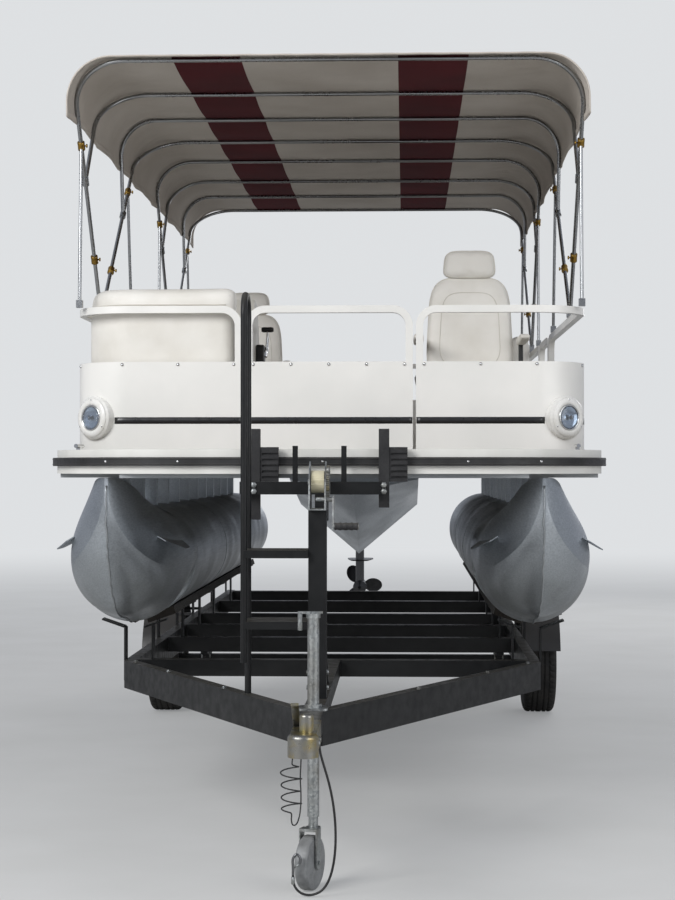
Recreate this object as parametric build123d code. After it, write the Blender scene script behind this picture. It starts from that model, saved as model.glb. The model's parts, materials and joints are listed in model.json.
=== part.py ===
from build123d import *
import math
import os

# Pontoon boat on its road trailer. Millimetres, +Z up, bow and coupler towards -Y.
# The origin is on the ground under the middle of the whole length.
# "Aft" distances are measured back from the front edge of the deck.

# Deck
deck_length = 6000.0
deck_width = 2400.0
deck_top_z = 1610.0
deck_thickness = 22.0
deck_front_radius = 600.0
deck_rear_radius = 120.0
edge_wall = 8.0
edge_below = 80.0
edge_above = 22.0
rub_rail_depth = 20.0
rub_rail_height = 36.0
rub_rail_below = 47.0
motor_notch_width = 760.0
motor_notch_length = 380.0
cross_member_height = 76.0
cross_member_width = 40.0
cross_member_wall = 5.0
cross_member_inset = 6.0
cross_member_end = 80.0
cross_member_count = 14

# Pontoons
pontoon_radius = 260.0
pontoon_spacing = 1850.0
pontoon_bottom_z = 855.0
pontoon_end_aft = deck_length - 100.0
riser_width = 90.0
riser_sink = 20.0
keel_height = 10.0
keel_width = 14.0
keel_end = 60.0
top_flat = 12.0
# Nose stations ahead of the plain tube: aft distance, half width, bottom height,
# height of the widest line, top height, half width of the flat top, fullness of the sides
nose_stations = [
    (960.0, 257.0, 856.0, 1112.0, 1388.0, 40.0, 1.0),
    (760.0, 246.0, 866.0, 1112.0, 1408.0, 70.0, 0.95),
    (560.0, 222.0, 893.0, 1118.0, 1434.0, 90.0, 0.85),
    (400.0, 184.0, 945.0, 1140.0, 1462.0, 92.0, 0.7),
    (290.0, 134.0, 1030.0, 1185.0, 1488.0, 76.0, 0.55),
    (215.0, 80.0, 1130.0, 1250.0, 1508.0, 50.0, 0.4),
    (165.0, 30.0, 1255.0, 1350.0, 1512.0, 22.0, 0.3),
    (148.0, 9.0, 1325.0, 1420.0, 1512.0, 7.0, 0.2),
]
nose_start_aft = 1200.0
# Spray fins: where they start and end behind the deck's front, and their slope
fin_front_aft = 420.0
fin_rear_aft = 860.0
fin_root_x = 170.0
fin_tip_x = 290.0
fin_root_z = 1265.0
fin_tip_z = 1195.0
fin_thickness = 5.0

# Fence
fence_front_aft = 600.0
fence_rear_aft = deck_length - 750.0
fence_width = 2316.0
fence_radius = 250.0
panel_top = 420.0
rail_top = 671.0
rail_size = 32.0
rail_bend = 75.0
fence_split_aft = 2900.0
fence_split_gap = 6.0
bow_gate_width = 750.0
gate_gap = 14.0
side_gate_aft = 2560.0
side_gate_width = 680.0
stern_gate_x = -550.0
stern_gate_width = 600.0
floor_gap = 12.0
hinge_heights = [110.0, 360.0]
hinge_length = 60.0
hinge_radius = 6.0
hinge_eye = 12.0
hinge_leaf = 3.0

# Furniture
furniture_gap = 18.0
couch_depth = 600.0
couch_seat_height = 330.0
cushion_thickness = 110.0
cushion_gap = 6.0
couch_back_thickness = 130.0
couch_back_top = 765.0
couch_side_length = 1750.0
couch_front_length = 690.0
couch_base_corner = 30.0
couch_back_corner = 60.0
lounge_seat_gap = 2.0
chair_seat_height = 420.0
chair_width = 490.0
chair_seat_depth = 460.0
chair_seat_thickness = 110.0
chair_seat_corner = 60.0
chair_back_thickness = 110.0
chair_back_front_drop = 20.0
chair_back_rear_drop = 60.0
chair_back_lean = 50.0
chair_back_corner = 70.0
chair_back_height = 510.0
headrest_height = 130.0
headrest_width = 280.0
headrest_lap = 40.0
# The headrest's cut, measured back from the seat's rear edge: front and rear, bottom and top
headrest_front_bottom = -70.0
headrest_rear_bottom = 40.0
headrest_front_top = -40.0
headrest_rear_top = 50.0
# Arm rests: out of and in from the seat's side, then heights above the seat
arm_out = 45.0
arm_in = 10.0
arm_front_inset = 60.0
arm_bottom = 150.0
arm_top = 195.0
arm_post_depth = 70.0
arm_post_drop = 60.0
arm_post_top = 160.0
pedestal_plate_radius = 150.0
pedestal_plate_thickness = 16.0
pedestal_radius = 38.0
# Chairs: name, x, aft distance
chair_table = [("chair_port", 670.0, 1640.0), ("chair_helm", -650.0, 3850.0)]
console_width = 560.0
console_length = 480.0
console_height = 900.0
console_aft = 2650.0
console_x = -790.0
console_toe = 60.0
console_heel = 40.0
console_top_front = 150.0
console_front_drop = 160.0
dash_depth = 130.0
dash_low_drop = 240.0
dash_high_drop = 20.0
wheel_rim_radius = 175.0
wheel_rim_tube = 14.0
wheel_stand_off = 70.0
wheel_hub_radius = 30.0
wheel_hub_above = 12.0
spoke_width = 26.0
spoke_thickness = 8.0
spoke_turns = [90.0, 210.0, 330.0]
lounge_length = 1450.0
lounge_aft = fence_rear_aft - 50.0 - lounge_length

# Bimini
bimini_half_width = 1150.0
bimini_top_z = 3370.0
bimini_corner = 200.0
bow_tube = 9.5
tongue_share = 0.6
strut_tube = 8.0
canopy_thickness = 6.0
canopy_edge_z = 3100.0
canopy_overhang = 50.0
bimini_front_aft = 470.0
bimini_set_count = 2
bimini_rear_gap = 260.0
# Places along one set, as shares of the distance from one set to the next
bow_shares = [0.0, 0.28, 0.52, 0.76]
pivot_share = 0.302
front_foot_share = 0.079
rear_foot_share = 0.674
bimini_set_pitch = (fence_rear_aft - bimini_rear_gap - bimini_front_aft) / (1 + rear_foot_share)
# Places along a main leg from its foot, as shares of its length
slider_share = 0.27
branch_share = 0.66
strut_share = 0.5
foot_spread = 24.0
foot_height = 34.0
foot_length = 30.0
foot_width = 28.0
foot_above = 12.0
collar_radius = 16.0
collar_length = 40.0

# Motor
transom_aft = deck_length + 75.0
transom_thickness = 45.0
transom_top_z = 1490.0
pod_width = 860.0
pod_front_aft = deck_length - 1300.0
pod_bottom_z = 925.0
pod_chine_z = 1290.0
pod_front_chine_drop = 30.0
pod_front_keel_drop = 120.0
transom_plate_width = 600.0
transom_plate_side_z = 1200.0
transom_plate_rise = 10.0
clamp_width = 224.0
clamp_plate = 14.0
clamp_bottom_z = 1190.0
clamp_hook_top_z = 1524.0
clamp_arm_inner = 70.0
clamp_arm_outer = 100.0
clamp_arm_foot_z = 1200.0
clamp_arm_knee = 60.0
clamp_arm_knee_z = 1220.0
clamp_arm_back = 28.0
clamp_arm_below = 40.0
clamp_arm_above = 28.0
clamp_arm_front = 20.0
clamp_arm_peak = 40.0
tilt_axis_back = 75.0
tilt_axis_z = 1480.0
tilt_tube_radius = 14.0
tilt_tube_length = 230.0
steer_axis_back = 110.0
swivel_radius = 46.0
swivel_middle_z = 1300.0
swivel_length = 420.0
swivel_head_width = 124.0
swivel_head_front = 24.0
swivel_head_below = 60.0
swivel_head_above = 28.0
swivel_web_width = 80.0
swivel_web_front = 10.0
swivel_web_bottom_z = 1130.0
# Leg: how far its front face lies behind the steering axis, and its two yokes
leg_face_back = 62.0
yoke_reach = 20.0
upper_yoke_z = 1525.0
upper_yoke_height = 30.0
upper_yoke_radius = 40.0
upper_yoke_bar = (1514.0, 1540.0)
lower_yoke_z = 1066.0
lower_yoke_height = 36.0
leg_front_width = 144.0
leg_rear_width = 120.0
leg_length = 170.0
leg_front_round = 20.0
leg_rear_round = 45.0
leg_bottom_z = 1040.0
plate_front_reach = 30.0
plate_rear_reach = 320.0
plate_front_width = 120.0
plate_rear_width = 210.0
plate_front_round = 40.0
plate_rear_round = 60.0
plate_thickness = 10.0
# Gearcase strut: its sharp nose, rounded shoulders and blunt tail, back from the leg's face
strut_nose = -20.0
strut_shoulder = 40.0
strut_shoulder_width = 68.0
strut_shoulder_round = 60.0
strut_tail = 180.0
strut_tail_width = 32.0
torpedo_front_reach = 60.0
torpedo_rear_reach = 200.0
torpedo_radius = 50.0
torpedo_nose = 40.0
torpedo_nose_radius = 12.0
skeg_front_inset = 60.0
skeg_rear_inset = 20.0
skeg_length = 70.0
skeg_rise = 20.0
skeg_thickness = 12.0
well_side = 20.0
well_bottom_z = 1395.0
plate_z = 860.0
propeller_z = 665.0
skeg_bottom_z = 500.0
propeller_radius = 165.0
propeller_hub_radius = 46.0
propeller_hub_length = 100.0
propeller_shaft_radius = 11.0
propeller_shaft_extra = 30.0
blade_turns = [90.0, 210.0, 330.0]
blade_edge_share = 0.4
blade_width = 118.0
blade_length = 136.0
blade_thickness = 7.0
blade_pitch = 28.0
cowl_bottom_z = 1640.0
cowl_height = 520.0
cowl_length = 560.0
cowl_width = 380.0
cowl_front = 80.0
cowl_tray_inset = 25.0
cowl_tray_height = 60.0
cowl_tray_front_round = 90.0
cowl_tray_rear_round = 120.0
cowl_front_round = 100.0
cowl_rear_round = 140.0
cowl_top_chamfer = 45.0

# Trailer frame
frame_bottom_z = 533.0
frame_depth = 127.0
frame_flange = 52.0
frame_half_width = 965.0
arm_end_aft = 920.0
arm_front_aft = -860.0
arm_vertex_aft = -930.0
rail_end_aft = 5950.0
tongue_front_aft = -1250.0
tongue_width = 76.0
member_width = 76.0
# Cross-members: aft distance
member_stations = [1000.0, 2150.0, 2950.0, 3750.0, 4850.0, 5850.0]
bunk_width = 140.0
bunk_thickness = 38.0
bunk_keel_gap = 12.0
bunk_front_aft = 1220.0
bunk_rear_aft = pontoon_end_aft
bracket_length = 70.0
bracket_plate = 8.0
bracket_strap_rise = 30.0
bracket_seat_share = 0.8
bracket_seat_lap = 1.0

# Running gear
axle_aft = 4250.0
axle_size = 60.0
stub_inset = 30.0
stub_radius = 22.0
stub_length = 90.0
stub_gap = 0.5
tyre_radius = 330.0
tyre_width = 205.0
tyre_centre_x = 1187.0
rim_radius = 188.0
bead_share = 0.78
tread_share = 0.82
sidewall_height = 50.0
sidewall_round = 40.0
shoulder_round = 25.0
rim_wall = 9.0
rim_disc_out = 40.0
rim_disc_thickness = 8.0
rim_disc_lap = 4.0
rim_hub_radius = 52.0
rim_hub_length = 60.0
rim_bore_length = 130.0
rim_bore_end = 35.0
rim_hole_count = 8
rim_hole_circle = 118.0
rim_hole_radius = 20.0
spring_x = 939.0
spring_length = 660.0
spring_width = 45.0
leaf_count = 3
leaf_thickness = 12.0
leaf_step = 90.0
leaf_rise = 60.0
leaf_knee = 0.4
spring_pad_length = 120.0
spring_pad_height = 40.0
hanger_inset = 15.0
hanger_length = 50.0
hanger_above_axle = 70.0
fender_gap = 50.0
fender_thickness = 4.0
fender_width = 235.0
fender_bracket_drop = 30.0
fender_bracket_lap = 40.0
fender_bracket_width = 30.0
fender_bracket_below = 4.0
fender_bracket_above = 12.0
fender_edge_above_axle = 90.0
tail_light_width = 190.0
tail_light_depth = 42.0
tail_light_inset = 20.0

# Winch stand
post_size = 70.0
post_aft = -450.0
post_top_z = 1390.0
post_inset = 8.0
post_arm = 50.0
brace_width = 44.0
brace_depth = 65.0
brace_reach = 535.0
brace_top_z = 1085.0
stop_board = 43.0
# Bow stops: x of the board, its bottom and its top
stop_table = [(-277.0, 1342.0, 1715.0), (254.0, 1392.0, 1715.0)]
rubber_width = 75.0
rubber_inset = 6.0
rubber_bottom_z = 1498.0
rubber_top_z = 1640.0
rubber_rib_pitch = 24.0
rubber_rib = 10.0
rubber_rib_depth = 8.0
bow_bar_z = 1446.0
bow_bar_height = 52.0
bow_bar_depth = 50.0
bow_bar_overhang = 58.0
# Upright ears on the bow bar: x of each middle
bow_ear_x = [-110.0, 90.0]
bow_ear_width = 22.0
bow_ear_thickness = 6.0
bow_ear_top_z = 1645.0
ladder_x = -284.0
ladder_front_aft = -500.0
ladder_set_back = 80.0
ladder_bottom_z = 800.0
ladder_top_z = 2231.0
ladder_tube = 13.0
ladder_bend = 80.0
step_heights = [960.0, 1235.0]
crank_x = 58.0
# Winch: measured back from the post's middle and up from its top
winch_y = 10.0
winch_half = 34.0
winch_front = 70.0
winch_rear = 90.0
winch_plate = 6.0
winch_cheek = [(80.0, 130.0), (20.0, 190.0), (-50.0, 120.0)]
drum_back = 20.0
drum_height = 110.0
drum_shaft_radius = 12.0
drum_shaft_length = 80.0
drum_gear_x = 40.0
drum_gear_radius = 58.0
drum_gear_thickness = 12.0
crank_shaft_front = 40.0
crank_shaft_height = 42.0
crank_shaft_radius = 9.0
crank_shaft_length = 70.0
crank_shaft_inset = 29.0
crank_width = 26.0
crank_thickness = 8.0
crank_length = 104.0
crank_lean = 20.0
grip_radius = 12.0
grip_length = 95.0
step_thickness = 30.0
step_overhang = 15.0
strap_end_z = 1500.0
strap_width = 50.0
strap_run_width = 48.0
strap_thickness = 4.0
strap_reel_radius = 44.0
strap_leave_height = 43.0
eye_aft = 70.0
eye_thickness = 16.0
eye_length = 20.0
eye_drop = 16.0
eye_hole_z = 1498.0
eye_hole_radius = 6.0

# Small fittings
light_z = 1780.0
light_turn = 36.0
light_radius = 98.0
light_out = 22.0
light_lip = 8.0
light_in = 30.0
cleat_x = 1085.0
cleat_front_aft = 400.0
cleat_base_width = 36.0
cleat_base_length = 90.0
cleat_base_height = 12.0
cleat_stem_length = 50.0
cleat_height = 40.0
cleat_length = 160.0
cleat_horn = 9.0

# Coupler and jack
coupler_front_aft = -1530.0
coupler_lap = 120.0
coupler_wall = 6.0
coupler_bottom_z = 590.0
coupler_head_radius = 52.0
coupler_head_round = 14.0
ball_radius = 25.4
ball_depth = 55.0
latch_dome_radius = 24.0
latch_dome_height = 62.0
latch_dome_x = 9.0
latch_width = 26.0
latch_thickness = 8.0
latch_top_z = 762.0
jack_aft = -790.0
jack_tube_radius = 22.0
jack_hole_gap = 1.2
jack_leg_radius = 18.0
jack_leg_gap = 0.5
jack_tube_bottom_z = 264.0
jack_tube_top_z = 998.0
jack_tube_end = 8.0
jack_cap_radius = 27.0
jack_cap_height = 16.0
jack_crank_low_x = -58.0
jack_crank_high_x = 35.0
jack_crank_width = 18.0
jack_crank_thickness = 8.0
jack_grip_radius = 9.0
jack_grip_length = 62.0
jack_flange = 110.0
jack_flange_thickness = 8.0
jack_collar_radius = 32.0
jack_collar_height = 12.0
jack_wheel_radius = 100.0
jack_wheel_width = 50.0
caster_trail = 35.0
caster_turn = -18.0
caster_crown_z = 216.0
caster_crown_thickness = 10.0
caster_crown_radius = 27.0
caster_pin_radius = 8.0
caster_pin_length = 24.0
caster_cheek = 5.0
caster_cheek_width = 44.0
caster_axle_radius = 7.0

# Cords
cable_radius = 4.5
cable_aft = -938.0
curly_aft = -1150.0
curly_cable_radius = 2.5
curly_coil_radius = 41.0
curly_top_z = 520.0
curly_bottom_z = 335.0
hook_radius = 5.0
# The hook's bends, out from its start and up
hook_bends = [(0.0, 0.0), (0.0, 30.0), (-2.0, 58.0), (12.0, 78.0), (28.0, 62.0), (25.0, 40.0)]
curly_x = -60.0

# Clearances
soft_gap = 0.3
moving_gap = 6.0
shaft_gap = 0.3
# How far a cutting solid runs past what it cuts
cut_over = 2.0

# The whole length runs from the coupler's nose to the back of the cowl.
cowl_rear_aft = transom_aft + steer_axis_back - cowl_front + cowl_length
deck_front_y = -(coupler_front_aft + cowl_rear_aft) / 2


def aft(distance):
    return deck_front_y + distance


def block(x, y, z):
    """A box from three (low, high) pairs."""
    size = [high - low for low, high in (x, y, z)]
    middle = [(low + high) / 2 for low, high in (x, y, z)]
    return Pos(*middle) * Box(*size)


def both_sides(part):
    """The part and its mirror image across the centre plane, as separate solids."""
    other = mirror(part, about=Plane.YZ)
    return Compound(children=[*other.solids(), *part.solids()])


def group(*parts):
    """Several parts as one node of separate solids."""
    solids = [solid for part in parts for solid in part.solids()]
    return Compound(children=solids)


def rod(points, radius, bends=0.0):
    """A round bar or tube along straight runs with rounded corners."""
    if len(points) == 2:
        path = Line(*points)
    elif isinstance(bends, (int, float)) and bends == 0:
        path = Polyline(*points)
    else:
        path = FilletPolyline(*points, radius=bends)
    start = Plane(origin=path @ 0, z_dir=path % 0)
    return sweep(start * Circle(radius), path=path)


def square_tube(points, size, bends):
    """A square tube that starts straight up, with rounded bends."""
    path = FilletPolyline(*points, radius=bends)
    return sweep(Pos(*points[0]) * Rectangle(size, size), path=path)


def plan_prism(points, radii, low, high):
    """A closed outline seen from above, with a corner radius for each point."""
    outline = FilletPolyline(*[(x, y, low) for x, y in points], radius=radii, close=True)
    return extrude(make_face(outline), amount=high - low, dir=(0, 0, 1))


def side_profile(points, x_low, x_high):
    """A closed outline of (y, z) points, extruded across the boat."""
    outline = make_face(Polyline(*[(x_low, y, z) for y, z in points], close=True))
    return extrude(outline, amount=x_high - x_low, dir=(1, 0, 0))


def cross_profile(points, y_low, y_high):
    """A closed outline of (x, z) points, extruded along the boat."""
    outline = make_face(Polyline(*[(x, y_low, z) for x, z in points], close=True))
    return extrude(outline, amount=y_high - y_low, dir=(0, 1, 0))


hook_start = (-66.0, aft(cable_aft) - 4.0, 79.0)
deck_middle_y = aft(deck_length / 2)
pontoon_z = pontoon_bottom_z + pontoon_radius
member_top_z = deck_top_z - deck_thickness
member_bottom_z = member_top_z - cross_member_height
frame_top_z = frame_bottom_z + frame_depth
member_pitch = (deck_length - 2 * cross_member_end) / (cross_member_count - 1)
member_ys = [aft(cross_member_end + member_pitch * number) for number in range(cross_member_count)]


def nose_section(distance, half_width, bottom, widest, top, top_half, fullness):
    """One upright section: each side runs from the keel out to the widest line and in to a flat top."""
    y = aft(distance)
    eighth = math.sqrt(0.5)

    def side_point(chord, arc):
        return [a + fullness * (b - a) for a, b in zip(chord, arc)]

    low_x, low_z = side_point(
        (half_width / 2, (bottom + widest) / 2),
        (half_width * eighth, widest - (widest - bottom) * eighth),
    )
    high_x, high_z = side_point(
        ((half_width + top_half) / 2, (widest + top) / 2),
        (top_half + (half_width - top_half) * eighth, widest + (top - widest) * eighth),
    )
    edges = [
        ThreePointArc((0, y, bottom), (low_x, y, low_z), (half_width, y, widest)),
        ThreePointArc((half_width, y, widest), (high_x, y, high_z), (top_half, y, top)),
        Line((top_half, y, top), (-top_half, y, top)),
        ThreePointArc((-top_half, y, top), (-high_x, y, high_z), (-half_width, y, widest)),
        ThreePointArc((-half_width, y, widest), (-low_x, y, low_z), (0, y, bottom)),
    ]
    return make_face(edges)


def nose_top(y):
    """Height of the pontoon's top at a place along it."""
    distance = y - deck_front_y
    rows = [(nose_start_aft, pontoon_z + pontoon_radius)] + [(row[0], row[4]) for row in nose_stations]
    for (rear, rear_top), (front, front_top) in zip(rows, rows[1:]):
        if front <= distance <= rear:
            return front_top + (rear_top - front_top) * (distance - front) / (rear - front)
    return pontoon_z + pontoon_radius


def spray_fin(side):
    """A plate along one side of the nose that slopes out and down, tapered at both ends."""
    front, rear = aft(fin_front_aft), aft(fin_rear_aft)
    plate = cross_profile(
        [
            (side * fin_root_x, fin_root_z),
            (side * fin_tip_x, fin_tip_z),
            (side * fin_tip_x, fin_tip_z - fin_thickness),
            (side * fin_root_x, fin_root_z - fin_thickness),
        ],
        front,
        rear,
    )
    length = rear - front
    plan = Polyline(
        (side * fin_root_x, front, 0),
        (side * (fin_root_x + (fin_tip_x - fin_root_x) * 0.4), front, 0),
        (side * fin_tip_x, front + length * 0.35, 0),
        (side * fin_tip_x, front + length * 0.7, 0),
        (side * (fin_root_x + (fin_tip_x - fin_root_x) * 0.5), rear, 0),
        (side * fin_root_x, rear, 0),
        close=True,
    )
    return plate & extrude(make_face(plan), amount=2 * fin_root_z, dir=(0, 0, 1))


def pontoon(x):
    """A round tube with a pointed nose, keel, spray fins and the risers that carry the deck."""
    top_z = pontoon_z + pontoon_radius
    ring = (nose_start_aft, pontoon_radius, pontoon_bottom_z, pontoon_z, top_z, top_flat, 1.0)
    ring_y = aft(nose_start_aft)
    end_y = aft(pontoon_end_aft)
    body = extrude(nose_section(*ring), amount=end_y - ring_y, dir=(0, 1, 0))
    body += loft([nose_section(*row) for row in [ring] + nose_stations])
    body += block(
        (-keel_width / 2, keel_width / 2),
        (ring_y, end_y - keel_end),
        (pontoon_bottom_z - keel_height, pontoon_bottom_z + keel_height),
    )
    for y in member_ys:
        if y < aft(nose_stations[-2][0]) or y > end_y - riser_width / 2:
            continue
        body += block(
            (-riser_width / 2, riser_width / 2),
            (y - cross_member_width / 2, y + cross_member_width / 2),
            (nose_top(y) - riser_sink, member_bottom_z),
        )
    for side in (-1, 1):
        body += spray_fin(side)
    return Pos(x, 0, 0) * body


def deck_face(grow):
    """The deck's outline, grown outwards by an amount."""
    width = deck_width + 2 * grow
    length = deck_length + 2 * grow
    face = Rectangle(width, length)
    front = face.vertices().sort_by(Axis.Y)[:2]
    face = fillet(front, deck_front_radius + grow)
    rear = face.vertices().sort_by(Axis.Y)[-2:]
    face = fillet(rear, deck_rear_radius + grow)
    return Pos(0, deck_middle_y) * face


def notch_block(grow):
    half = motor_notch_width / 2 + grow
    return block(
        (-half, half),
        (aft(deck_length - motor_notch_length) - grow, aft(deck_length) + 200.0),
        (deck_top_z - 400.0, deck_top_z + 300.0),
    )


def slab(face, low, high):
    return extrude(Pos(0, 0, low) * face, amount=high - low)


def make_deck():
    return slab(deck_face(0.0), member_top_z, deck_top_z) - notch_block(0.0)


def make_deck_edge():
    outer = slab(deck_face(edge_wall), deck_top_z - edge_below, deck_top_z + edge_above)
    inner = slab(deck_face(0.0), deck_top_z - edge_below - 1.0, deck_top_z + edge_above + 1.0)
    return outer - inner - notch_block(0.0)


def make_rub_rail():
    low = deck_top_z - rub_rail_below
    outer = slab(deck_face(edge_wall + rub_rail_depth), low, low + rub_rail_height)
    inner = slab(deck_face(edge_wall), low - 1.0, low + rub_rail_height + 1.0)
    return outer - inner - notch_block(0.0)


def member_reach(low, high):
    """How far a cross-member can run to each side inside the deck's rounded corners."""
    half = deck_width / 2 - cross_member_inset
    reach = half
    corners = [
        (deck_front_radius, deck_front_radius - (low - aft(0.0))),
        (deck_rear_radius, deck_rear_radius - (aft(deck_length) - high)),
    ]
    for radius, drop in corners:
        if drop > 0:
            reach = min(reach, half - radius + math.sqrt(radius**2 - drop**2))
    return reach


def make_deck_members():
    """Channels across the boat under the deck, and the bow eye on the first."""
    wall = cross_member_wall
    notch_front = aft(deck_length - motor_notch_length) - well_side
    members = []
    for y in member_ys:
        low, high = y - cross_member_width / 2, y + cross_member_width / 2
        reach = member_reach(low, high)
        channel = side_profile(
            [
                (low, member_bottom_z),
                (high, member_bottom_z),
                (high, member_bottom_z + wall),
                (low + wall, member_bottom_z + wall),
                (low + wall, member_top_z - wall),
                (high, member_top_z - wall),
                (high, member_top_z),
                (low, member_top_z),
            ],
            -reach,
            reach,
        )
        if high > notch_front:
            gap = motor_notch_width / 2 + well_side
            zs = (member_bottom_z - wall, member_top_z + wall)
            channel -= block((-gap, gap), (low - wall, high + wall), zs)
        members += channel.solids()
    eye = block(
        (-eye_thickness / 2, eye_thickness / 2),
        (aft(eye_aft), aft(eye_aft) + eye_length),
        (strap_end_z - eye_drop, member_bottom_z),
    )
    eye_y = aft(eye_aft) + eye_length / 2
    eye -= Pos(0, eye_y, eye_hole_z) * Rot(0, 90, 0) * Cylinder(eye_hole_radius, 2 * eye_thickness)
    members[0] += eye
    return group(*members)


fence_half = fence_width / 2
fence_front_y = aft(fence_front_aft)
fence_rear_y = aft(fence_rear_aft)
rail_z = deck_top_z + rail_top - rail_size / 2
fence_low = deck_top_z


def panel_ring():
    """The fence panels as one closed ring, before it is cut into sections."""
    middle = (fence_front_y + fence_rear_y) / 2
    length = fence_rear_y - fence_front_y
    outer = Pos(0, middle) * RectangleRounded(fence_width, length, fence_radius)
    inner = Pos(0, middle) * RectangleRounded(
        fence_width - 2 * rail_size, length - 2 * rail_size, fence_radius - rail_size
    )
    return slab(outer - inner, fence_low, deck_top_z + panel_top)


def fence_section(region, rail_points):
    """A stretch of panel with its rail, which bends down into a leg at each end."""
    body = panel_ring() & region
    bends = [rail_bend] + [fence_radius - rail_size / 2] * (len(rail_points) - 4) + [rail_bend]
    body += square_tube(rail_points, rail_size, bends)
    return body


def make_fences():
    edge = fence_half - rail_size / 2
    front = fence_front_y + rail_size / 2
    rear = fence_rear_y - rail_size / 2
    low, high = fence_low, deck_top_z + rail_top
    gate_edge = bow_gate_width / 2 + gate_gap
    split = aft(fence_split_aft)
    side_low = aft(side_gate_aft) - gate_gap
    side_high = aft(side_gate_aft + side_gate_width) + gate_gap
    stern_low = stern_gate_x - stern_gate_width / 2 - gate_gap
    stern_high = stern_gate_x + stern_gate_width / 2 + gate_gap
    far = 4000.0
    leg = rail_size / 2
    z = rail_z
    zs = (low - 10.0, high + 10.0)
    bow_starboard = fence_section(
        block((-far, -gate_edge), (-far, split - fence_split_gap), zs),
        [
            (-gate_edge - leg, front, low),
            (-gate_edge - leg, front, z),
            (-edge, front, z),
            (-edge, split - fence_split_gap - leg, z),
            (-edge, split - fence_split_gap - leg, low),
        ],
    )
    bow_port = fence_section(
        block((gate_edge, far), (-far, side_low), zs),
        [
            (gate_edge + leg, front, low),
            (gate_edge + leg, front, z),
            (edge, front, z),
            (edge, side_low - leg, z),
            (edge, side_low - leg, low),
        ],
    )
    aft_starboard = fence_section(
        block((-far, stern_low), (split + fence_split_gap, far), zs),
        [
            (-edge, split + fence_split_gap + leg, low),
            (-edge, split + fence_split_gap + leg, z),
            (-edge, rear, z),
            (stern_low - leg, rear, z),
            (stern_low - leg, rear, low),
        ],
    )
    aft_port = fence_section(
        block((-leg, far), (side_high, far), zs) + block((stern_high, 0.0), (rear - fence_radius, far), zs),
        [
            (edge, side_high + leg, low),
            (edge, side_high + leg, z),
            (edge, rear, z),
            (stern_high + leg, rear, z),
            (stern_high + leg, rear, low),
        ],
    )
    bow_starboard += gate_places["gate_bow"] * hinge_post()
    bow_port += gate_places["gate_side"] * hinge_post()
    aft_port += gate_places["gate_stern"] * hinge_post()
    return {
        "fence_bow_starboard": bow_starboard,
        "fence_bow_port": bow_port,
        "fence_aft_starboard": aft_starboard,
        "fence_aft_port": aft_port,
    }


def hinge_post():
    """The fence's half of both hinges: eyes above and below each of the gate's barrels."""
    half = rail_size / 2
    post = None
    for z in hinge_heights:
        for side in (-1, 1):
            middle = deck_top_z + z + side * (hinge_length / 2 + soft_gap + hinge_eye / 2)
            eye = block(
                (-gate_gap - rail_size / 2, -gate_gap / 2 + hinge_radius),
                (half - 1.0, half + 2 * hinge_radius),
                (middle - hinge_eye / 2, middle + hinge_eye / 2),
            )
            post = eye if post is None else post + eye
    return post


def gate(width):
    """A gate in its own upright plane: a panel in a tube frame, hinge edge at x = 0, inside at +y."""
    half = rail_size / 2
    low = fence_low + floor_gap
    body = square_tube(
        [(half, 0, low), (half, 0, rail_z), (width - half, 0, rail_z), (width - half, 0, low)],
        rail_size,
        [rail_bend, rail_bend],
    )
    body += block((0, width), (-half, half), (low, deck_top_z + panel_top))
    for z in hinge_heights:
        middle = Pos(-gate_gap / 2, half + hinge_radius, deck_top_z + z)
        barrel = middle * Cylinder(hinge_radius, hinge_length)
        leaf = block(
            (-gate_gap / 2, rail_size * 0.8),
            (half, half + hinge_leaf),
            (deck_top_z + z - hinge_length / 2, deck_top_z + z + hinge_length / 2),
        )
        body += barrel + leaf
    return body


gate_places = {
    "gate_bow": Pos(-bow_gate_width / 2, fence_front_y + rail_size / 2, 0),
    "gate_side": Pos(fence_half - rail_size / 2, aft(side_gate_aft), 0) * Rot(0, 0, 90),
    "gate_stern": Pos(stern_gate_x + stern_gate_width / 2, fence_rear_y - rail_size / 2, 0) * Rot(0, 0, 180),
}
gate_widths = {"gate_bow": bow_gate_width, "gate_side": side_gate_width, "gate_stern": stern_gate_width}


def make_gates():
    return {name: place * gate(gate_widths[name]) for name, place in gate_places.items()}


inner_x = fence_half - rail_size
couch_outer = inner_x - furniture_gap
couch_front_y = fence_front_y + rail_size + furniture_gap


def make_bow_couch():
    """An L-shaped corner lounge: base, two seat cushions and a padded back along the fence."""
    outer = -couch_outer
    seat_z = deck_top_z + couch_seat_height
    front_x = outer + couch_front_length
    side_x = outer + couch_depth
    front_y = couch_front_y
    turn_y = front_y + couch_depth
    end_y = front_y + couch_side_length
    corner = fence_radius - rail_size
    back = couch_back_thickness
    base = plan_prism(
        [
            (outer, front_y),
            (front_x, front_y),
            (front_x, turn_y),
            (side_x, turn_y),
            (side_x, end_y),
            (outer, end_y),
        ],
        [corner] + [couch_base_corner] * 4 + [0.0],
        deck_top_z,
        seat_z,
    )
    low = seat_z + soft_gap
    inner = outer + back + cushion_gap / 2
    seat_low_y = front_y + back + cushion_gap / 2
    front_seat = block((inner, front_x), (seat_low_y, turn_y), (low, low + cushion_thickness))
    side_seat = block((inner, side_x), (turn_y + cushion_gap, end_y), (low, low + cushion_thickness))
    padded_back = plan_prism(
        [
            (outer, front_y),
            (front_x, front_y),
            (front_x, front_y + back),
            (outer + back, front_y + back),
            (outer + back, end_y),
            (outer, end_y),
        ],
        [corner, couch_back_corner, couch_back_corner, 0.0, couch_back_corner, couch_back_corner],
        low,
        deck_top_z + couch_back_top,
    )
    return {
        "bow_couch_base": base,
        "bow_couch_cushions": group(front_seat, side_seat, padded_back),
    }


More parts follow.
